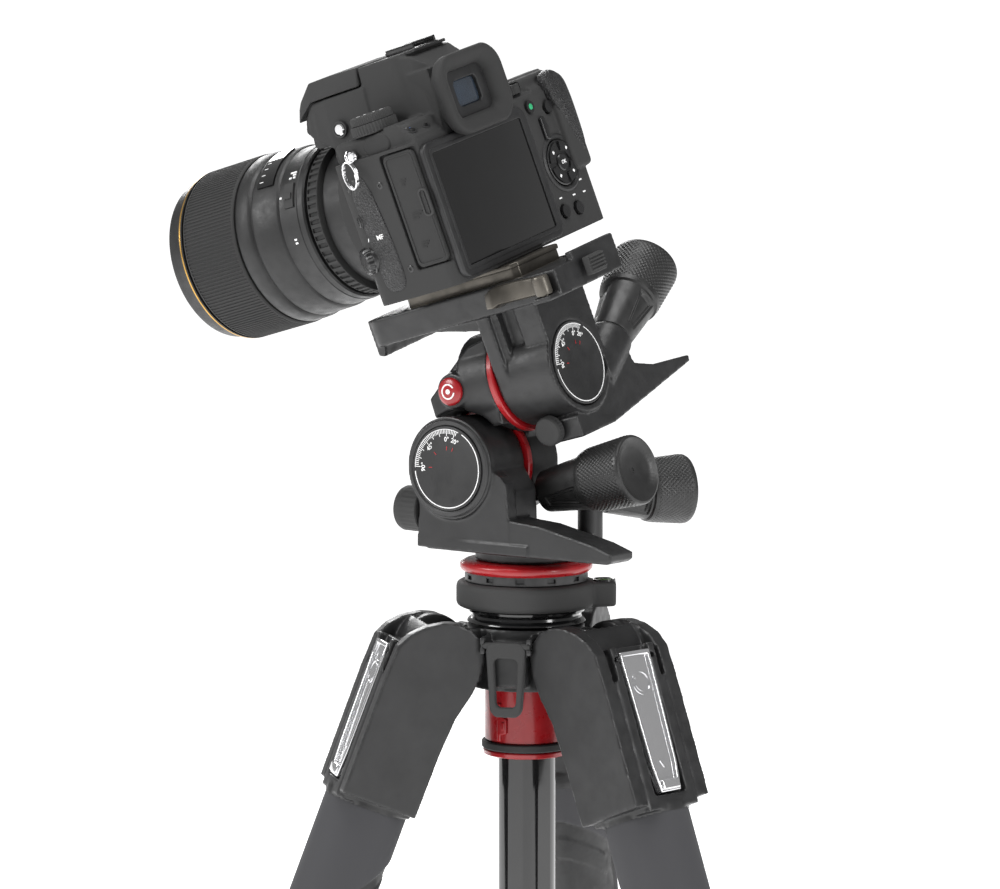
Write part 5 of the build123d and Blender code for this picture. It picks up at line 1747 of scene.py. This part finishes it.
    def _leather(self) -> None:
        """Makes the grained grip patches on the rear, the front grip and the left flank."""
        thumb = [(-60, 214), (-69, 216), (-76.5, 211), (-78, 199), (-77.5, 176), (-74, 170), (-70.6, 178),
            (-66, 192), (-61, 203)]
        strip = [(-13, 199), (-2.5, 200), (1.0, 170), (1.5, 144), (-11.5, 144), (-11.5, 168)]
        side = [(-38, 200), (20, 200), (20, 150), (-38, 150)]
        rows = (
            ("thumb_leather", [(-x, z) for x, z in thumb], self.on_rear, 4.2),
            ("flank_leather", strip, self.on_left, 0.8),
            ("grip_leather", side, facing((-79, 0, 0), (-1, 0, 0), (0, -1, 0)), 0.9),
        )
        for name, outline, plane, height in rows:
            if name == "grip_leather":
                outline = [(-y, z) for y, z in outline]
            smooth = self._smoothed(outline)
            patch = Shape(self.place).pillow(smooth, height, plane, 1.2, 0.12)
            put(name, patch.mesh_data(name), LEATHER, "camera", sharp=60.0)
        front = self._smoothed([(-27, 199), (27, 199), (27, 150), (-27, 150)][::-1])
        patch = Shape(self.place).pillow([(x * 0.45, z) for x, z in front], 1.0,
            facing((-63.5, -45, 0), (0, -1, 0), (1, 0, 0)), 1.2, 0.12)
        put("front_leather", patch.mesh_data("front_leather"), LEATHER, "camera", sharp=60.0)

    def _smoothed(self, outline: Sequence[Point], passes: int = 2) -> list[tuple[float, float]]:
        """Rounds an outline by cutting its corners.

        Args:
            outline: Corner points.
            passes: Times that every corner is cut.

        Returns:
            The rounder outline.
        """
        points = [(float(x), float(y)) for x, y in outline]
        for _ in range(passes):
            cut = []
            for (ax, ay), (bx, by) in zip(points, points[1:] + points[:1]):
                cut.append((0.8 * ax + 0.2 * bx, 0.8 * ay + 0.2 * by))
                cut.append((0.2 * ax + 0.8 * bx, 0.2 * ay + 0.8 * by))
            points = cut
        return points

    def _flank(self) -> None:
        """Makes the keys and the focus dial on the flank beside the lens."""
        normal = (0.8, -0.6, 0)
        self._key("raw_key", facing((49.2, -15.2, 195.7), normal, (0.6, 0.8, 0)), 3.1, 0.9)
        self._key("af_mode_key", facing((49.6, -14.6, 179.4), normal, (0.6, 0.8, 0)), 2.9, 1.1)
        self._key("flash_key", facing((28.4, -24, 222), (1, 0, 0.1), (0, 1, 0)), 2.8, 0.9, CHROME)
        at = facing((48.4, -16.4, 161), normal, (0.6, 0.8, 0))

        def grip(angle: float, height: float) -> float:
            """Depth of the finger flutes of the focus dial."""
            return -0.45 * (0.5 + 0.5 * cos(14 * angle)) if height > 0.6 else 0.0

        dial = Shape(self.place).turned([(0, -2), (7.2, -2), (7.2, 0.4), (6.6, 0.8), (6.2, 3.0), (5.6, 3.6),
            (0, 3.8)], 112, at, grip)
        dial.prism([(-1.4, -6), (1.4, -6), (1.4, -13), (-1.4, -13)], -1.5, 1.4, 0.5, at)
        put("focus_dial", dial.mesh_data("focus_dial"), KEY_BLACK, "camera")
        words = Shape(self.place)
        words.text("AF", 3.2, 0.12, self.on_left @ Matrix.Translation((-10.6, 170.6, 0.2)))
        words.text("MF", 3.2, 0.12, self.on_left @ Matrix.Translation((-4.6, 170.2, 0.9)))
        put("focus_words", words.mesh_data("focus_words"), WHITE_INK_PAINTED_GLOW, "camera")

    def _lugs(self) -> None:
        """Makes a chrome strap lug on each side, and the split ring on the left one."""
        for name, x, y, z in (("lug_left", 49.5, -6, 209), ("lug_right", -77.5, -14, 205)):
            way = 1 if x > 0 else -1
            lug = Shape(self.place)
            loop = [(x + way * (2.4 + 2.6 * cos(t)), y,
                z + 2.9 * sin(t)) for t in (2 * pi * i / 32 for i in range(32))]
            lug.wire(loop, 0.75, closed=True)
            lug.turned([(0, 0), (2.6, 0), (2.4, 0.8), (1.4, 1.2), (0, 1.2)], 32,
                facing((x - way * 0.4, y, z), (way, 0, 0), (0, 1, 0)))
            put(name, lug.mesh_data(name), CHROME, "camera")
        ring = []
        for index in range(61):
            turn = 2 * pi * index / 20
            ring.append((54.6 + 0.34 * index / 10, -6 + 3.4 * cos(turn), 201.4 + 6.4 * sin(turn)))
        split = Shape(self.place).wire(ring, 0.55)
        put("split_ring", split.mesh_data("split_ring"), CHROME, "camera")


@dataclass
class Lens:
    """Long lens: smooth barrel, ribbed rings, gold line and front glass."""

    stance: Stance
    height: float = 179.0
    radius: float = 42.0
    front: float = 106.0
    focus: tuple[float, float] = (61.5, 94.0)
    collar: tuple[float, float] = (12.5, 19.5)

    def build(self) -> None:
        """Makes every piece of the lens."""
        place = self.stance.head() @ facing((2, -32, self.height), (0, -1, 0), (1, 0, 0))
        r, f = self.radius, self.front
        barrel = Shape(place).turned(
            [
                (0, 0), (33.5, 0), (34, 0.5), (34, 11.6), (30, 12), (30, 20.2), (37.4, 20.4), (38.2, 21.2),
                (38.4, 24.0),
                (38.7, 24.4), (38.9, 34.6), (39.3, 35.0), (39.9, 36.0), (40.3, 50.4), (40.0, 50.9),
                (40.0, 51.4), (40.6, 51.9),
                (41.3, 53.4), (41.5, 59.4), (41.0, 60.6), (37, 61), (37, 94.5), (r, 94.7), (r, 95.2),
                (r - 0.7, 95.5),
                (r - 0.7, 96.3), (r - 0.9, 96.7), (r - 2.2, 98.4), (r - 2.5, 99.2), (r - 2.7, f - 1.6),
                (r - 3.2, f - 0.5),
                (r - 4.0, f), (r - 4.6, f - 0.4), (r - 4.8, f - 1.2), (r - 5.6, f - 1.6), (r - 5.6, f - 2.4),
                (r - 6.2, f - 2.6),
                (r - 6.2, f - 3.4), (r - 6.8, f - 3.6), (r - 7.2, f - 7.4), (r - 9, f - 7.8), (0, f - 7.8),
            ],
            192,
        )
        put("lens_skin", barrel.mesh_data("lens_skin"), LENS_BLACK, "camera", ["lens_barrel"])
        gold = Shape(place).turned([(r - 0.8, 95.55), (r - 0.1, 95.55), (r - 0.1, 96.3), (r - 0.8, 96.3)],
            192, closed=True)
        put("lens_gold_line", gold.mesh_data("lens_gold_line"), GOLD, "camera")
        glass = Shape(place).turned(
            [(0, f - 8.2), (33, f - 8.2), (33, f - 7.6), (27, f - 5.6), (16, f - 4.0), (8, f - 3.5),
                (0, f - 3.3)], 128
        )
        put("lens_front_glass", glass.mesh_data("lens_front_glass"), LENS_GLASS, "camera")
        self._rings(place)
        self._controls(place)

    def _rings(self, place: Matrix) -> None:
        """Makes the wide ribbed focus ring and the narrow ring by the mount."""
        low, high = self.focus
        r = self.radius

        def fine(angle: float, height: float) -> float:
            """Depth of the fine ribs of the focus ring."""
            return -0.45 if low + 1.4 < height < high - 1.4 and cos(150 * angle) < 0.15 else 0.0

        profile = [(37.4, low), (r - 0.7, low), (r - 0.1, low + 0.6), (r, low + 1.3), (r, low + 1.5),
            (r, high - 1.5)]
        profile += [(r, high - 1.3), (r - 0.1, high - 0.6), (r - 0.7, high), (37.4, high)]
        focus = Shape(place).turned(profile, 1200, relief=fine, closed=True)
        put("focus_ring_skin", focus.mesh_data("focus_ring_skin"), LENS_RUBBER, "focus_ring", ["focus_ring"],
            sharp=40.0)
        near, far = self.collar

        def coarse(angle: float, height: float) -> float:
            """Depth of the coarse ribs of the narrow ring."""
            return -0.9 if near + 0.9 < height < far - 0.9 and cos(60 * angle) < 0.0 else 0.0

        profile = [(30.4, near), (36.4, near), (37, near + 0.5), (37, near + 0.8), (37, near + 1),
            (37, far - 1)]
        profile += [(37, far - 0.8), (37, far - 0.5), (36.4, far), (30.4, far)]
        ring = Shape(place).turned(profile, 720, relief=coarse, closed=True)
        put("aperture_ring_skin", ring.mesh_data("aperture_ring_skin"), LENS_RUBBER, "aperture_ring",
            ["aperture_ring"], sharp=40.0)

    def _controls(self, place: Matrix) -> None:
        """Makes the distance window, the focus switch and the white marks on the barrel."""
        window = Shape(place).arc((39.4, 41.0), (44, 84), 38.0, 48.0, step=2.0)
        put("distance_window", window.mesh_data("distance_window"), SCREEN_GLASS, "camera")
        switch = Shape(place).arc((38.2, 39.7), (24, 42), 25.6, 31.2, step=2.0)
        switch.arc((39.4, 40.4), (30, 34), 26.4, 30.4, step=2.0)
        put("focus_switch", switch.mesh_data("focus_switch"), MOULDED, "camera")
        marks = Shape(place)
        rows = (
            (46.0, 25.8, 27.2), (46.0, 28.2, 29.6), (48.4, 25.8, 27.6), (50.6, 25.8, 29.4),
            (32.0, 33.0, 34.2),
            (-2.0, 27.6, 29.0), (0.6, 27.6, 29.0),
        )
        for angle, low, high in rows:
            marks.arc((38.4, 39.1), (angle, angle + 1.3), low, high, step=1.0)
        for angle in range(48, 84, 6):
            marks.arc((40.6, 41.08), (angle, angle + 0.5), 44.6, 46.8, step=1.0)
        put("lens_marks", marks.mesh_data("lens_marks"), WHITE_INK_PAINTED_GLOW, "camera")


# ------------------------------------------------------------------------ studio
@dataclass
class Studio:
    """Pale floor, soft lights and the camera that looks at the object."""

    stance: Stance
    aim: tuple[float, float, float] = (7.3, -10.0, 59.4)
    azimuth: float = 36.3
    elevation: float = 5.8
    distance: float = 1.878
    lens: float = 144.0
    ambient: float = 0.27

    def build(self) -> None:
        """Makes the floor, the lights and the camera."""
        self._floor()
        self._world()
        self._light("key_light", (2.2, -1.6, 2.0), (1.2, 1.2), 46.0)
        self._light("side_light", (0.2, 2.6, 1.5), (0.5, 1.6), 30.0)
        self._light("rim_light", (-1.6, -2.0, 1.9), (0.9, 1.6), 34.0)
        self._light("top_light", (0.3, 0.0, 2.7), (1.5, 1.5), 34.0)
        self._camera()

    def _target(self) -> Vector:
        """Point that the camera looks at, in metres."""
        return self.stance.pan() @ Vector(self.aim)

    def _floor(self) -> None:
        """Makes the pale floor."""
        part = Shape(Matrix.Scale(1.0, 4))
        part.prism(rounded(60, 60, 6), -0.02, -0.0002)
        data = part.mesh_data("floor")
        floor = bpy.data.objects.new("floor", data)
        bpy.context.scene.collection.objects.link(floor)
        pale = Finish(
            "floor_pale", "casting", (0.9, 0.9, 0.9), 0.8, grain=Grain.FINE, scale=3.0, depth=0.02,
            mottle=0.01, glow=1.0
        )
        data.materials.append(pale.material())

    def _world(self) -> None:
        """Sets a plain pale surround and a plain view transform."""
        world = bpy.data.worlds.new("studio")
        world.use_nodes = True
        back = world.node_tree.nodes["Background"]
        back.inputs["Color"].default_value = (1.0, 1.0, 1.0, 1.0)
        path = world.node_tree.nodes.new("ShaderNodeLightPath")
        level = world.node_tree.nodes.new("ShaderNodeMapRange")
        level.inputs["To Min"].default_value = self.ambient
        level.inputs["To Max"].default_value = 1.05
        world.node_tree.links.new(path.outputs["Is Camera Ray"], level.inputs["Value"])
        world.node_tree.links.new(level.outputs["Result"], back.inputs["Strength"])
        bpy.context.scene.world = world
        bpy.context.scene.view_settings.view_transform = "Standard"

    def _light(self, name: str, where: Point, size: Point, power: float) -> None:
        """Makes one soft area light that faces the object.

        Args:
            name: Name of the light.
            where: Its place in metres.
            size: Width and height in metres.
            power: Power in watts.
        """
        lamp = bpy.data.lights.new(name, "AREA")
        lamp.shape = "RECTANGLE"
        lamp.size, lamp.size_y = size
        lamp.energy = power
        holder = bpy.data.objects.new(name, lamp)
        holder.location = where
        holder.rotation_euler = (Vector(where) - self._target()).to_track_quat("Z", "Y").to_euler()
        bpy.context.scene.collection.objects.link(holder)

    def _camera(self) -> None:
        """Makes the camera at the studio's viewing angle."""
        turn, rise = radians(self.azimuth), radians(self.elevation)
        back = Vector((cos(turn) * cos(rise), sin(turn) * cos(rise), sin(rise)))
        data = bpy.data.cameras.new("view")
        data.sensor_width = 36.0
        data.lens = self.lens
        data.clip_end = 60.0
        holder = bpy.data.objects.new("view", data)
        holder.location = self._target() + back * self.distance
        holder.rotation_euler = back.to_track_quat("Z", "Y").to_euler()
        bpy.context.scene.collection.objects.link(holder)
        bpy.context.scene.camera = holder


def main() -> None:
    """Builds the sub-assemblies in order, then the studio."""
    logging.basicConfig(level=logging.INFO, format="%(message)s")
    stance = Stance()
    TripodShoulder(stance).build()
    CentreColumn(stance).build()
    for number in (1, 2, 3):
        Leg(stance, number).build()
    PanHead(stance).build()
    TiltArm(stance).build()
    Platform(stance).build()
    Camera(stance).build()
    Lens(stance).build()
    Studio(stance).build()


if __name__ == "__main__":
    main()
